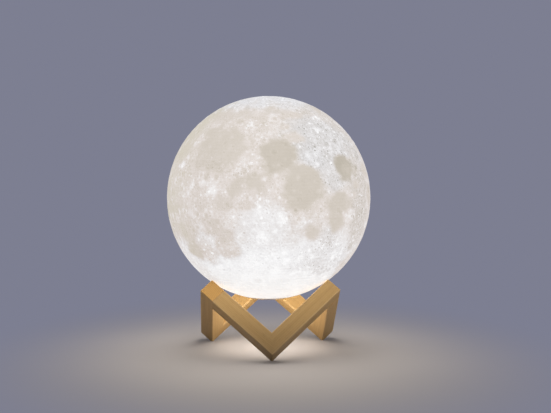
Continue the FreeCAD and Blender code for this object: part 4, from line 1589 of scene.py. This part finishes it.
@dataclass
class Studio:
    """Floor, lamps, background and camera."""

    floor_colour: Colour = (0.284, 0.258, 0.243)
    background: Colour = (0.205, 0.212, 0.285)
    world_colour: Colour = (0.93, 0.96, 1.0)
    world_light: float = 0.42
    lamps: tuple[SoftLamp, ...] = (
        SoftLamp("key_lamp", (-0.80, -0.60, 0.95), 0.90, 3.9, (1.0, 0.97, 0.93)),
        SoftLamp("fill_lamp", (0.75, -0.95, 0.42), 0.80, 5.7, (1.0, 0.98, 0.96)))
    aim: tuple[float, float, float] = (0.0, 0.0, 0.09)      # where the soft lamps look
    glows: tuple[Glow, ...] = (
        Glow("under_glow", 0.033, 0.022, 0.128),
        Glow("globe_glow", 0.112, 0.058, 1.500))
    glow_colour: Colour = (1.0, 0.97, 0.91)
    floor_half: float = 3.0
    pale_to: float = 0.07               # radius out to which the floor is its own colour
    plain_from: float = 0.30            # radius from which only the background shows
    lens: float = 88.67                 # in millimetres, as is the sensor's width
    sensor: float = 36.0
    nearest: float = 0.01               # what lies nearer to the camera isn't drawn
    camera_place: tuple[float, float, float] = (-0.04496, -0.9990, 0.2049)
    camera_pitch: float = 0.099         # radians below the horizon
    camera_turn: float = -0.050

    def build(self, nodes: Nodes) -> None:
        """Makes the floor, the lamps, the world and the camera.

        Args:
            nodes: The frame's nodes by name.
        """
        floor = self._floor()
        self._world()
        for lamp in self.lamps:
            self._lamp(lamp)
        bars = [node for name, node in nodes.items() if name.endswith("_bar")]
        for glow in self.glows:
            self._glow(glow, (*bars, floor))
        self._camera()
        bpy.context.scene.view_settings.view_transform = "Standard"
        log.info("studio: floor, %d soft lamps, %d glows and the camera", len(self.lamps), len(self.glows))

    def _floor(self) -> Object:
        """Lays the floor, and returns it."""
        half = self.floor_half
        rim = np.array([(-half, -half, 0.0), (half, -half, 0.0), (half, half, 0.0), (-half, half, 0.0)])
        floor = add_mesh("floor", rim, [(0, 1, 2, 3)])
        finish = FloorFinish("floor", self.floor_colour, self.background, self.pale_to, self.plain_from)
        dress(floor, finish.build())
        return floor

    def _world(self) -> None:
        """Lights everything evenly, and shows a plain background to the camera, metal and glass."""
        world = bpy.data.worlds.new("room")
        world.use_nodes = True
        tree = NodeTree(world.node_tree)
        rays = tree.node("ShaderNodeLightPath", {}, {})
        seen, mirrored, through = (Value(tree, rays.outputs[f"Is {kind} Ray"])
                                   for kind in ("Camera", "Glossy", "Transmission"))
        light = tree.node("ShaderNodeBackground", {}, {
            "Color": self.world_colour, "Strength": self.world_light})
        plain = tree.node("ShaderNodeBackground", {}, {"Color": self.background, "Strength": 1.0})
        mixed = tree.node("ShaderNodeMixShader", {}, {
            0: seen.larger(mirrored).larger(through), 1: light.outputs[0], 2: plain.outputs[0]})
        tree.node("ShaderNodeOutputWorld", {}, {"Surface": mixed.outputs[0]})
        bpy.context.scene.world = world

    def _lamp(self, lamp: SoftLamp) -> None:
        """Hangs one soft lamp that looks at the globe.

        Args:
            lamp: The lamp.
        """
        data = bpy.data.lights.new(lamp.name, "AREA")
        data.shape = "SQUARE"
        data.size = lamp.side
        data.energy = lamp.power
        data.color = lamp.colour
        hung = bpy.data.objects.new(lamp.name, data)
        hung.location = lamp.place
        way = Vector(self.aim) - Vector(lamp.place)
        hung.rotation_euler = way.to_track_quat("-Z", "Y").to_euler()
        bpy.context.scene.collection.objects.link(hung)

    def _glow(self, glow: Glow, lit: Iterable[Object]) -> None:
        """Adds some of the lit globe's light on the bars and the floor, as it is brighter than it looks.

        Args:
            glow: The ball of light.
            lit: The stand's pieces and the floor. Only they take its light and hold it up.
        """
        data = bpy.data.lights.new(glow.name, "POINT")
        data.shadow_soft_size = glow.radius
        data.energy = glow.power
        data.color = self.glow_colour
        ball = bpy.data.objects.new(glow.name, data)
        ball.location = (0.0, 0.0, glow.height)
        ball.visible_camera = False
        ball.visible_glossy = False
        group = bpy.data.collections.new(f"lit_by_{glow.name}")
        for one in lit:
            group.objects.link(one)
        ball.light_linking.receiver_collection = group
        ball.light_linking.blocker_collection = group
        bpy.context.scene.collection.objects.link(ball)

    def _camera(self) -> None:
        """Sets the camera where the photograph was taken from."""
        data = bpy.data.cameras.new("camera")
        data.sensor_width = self.sensor
        data.lens = self.lens
        data.clip_start = self.nearest
        camera = bpy.data.objects.new("camera", data)
        camera.location = self.camera_place
        camera.rotation_euler = (QUARTER_TURN - self.camera_pitch, 0.0, self.camera_turn)
        bpy.context.scene.collection.objects.link(camera)
        bpy.context.scene.camera = camera


def main() -> None:
    """Loads the frame and dresses it, piece by piece."""
    logging.basicConfig(level=logging.INFO, format="%(message)s")
    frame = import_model()
    nodes = frame["nodes"]
    Studio().build(nodes)
    WoodenStand().dress(nodes)
    LightUnit().dress(nodes)
    SmallParts().build()
    MoonGlobe().build(nodes)


if __name__ == "__main__":
    main()
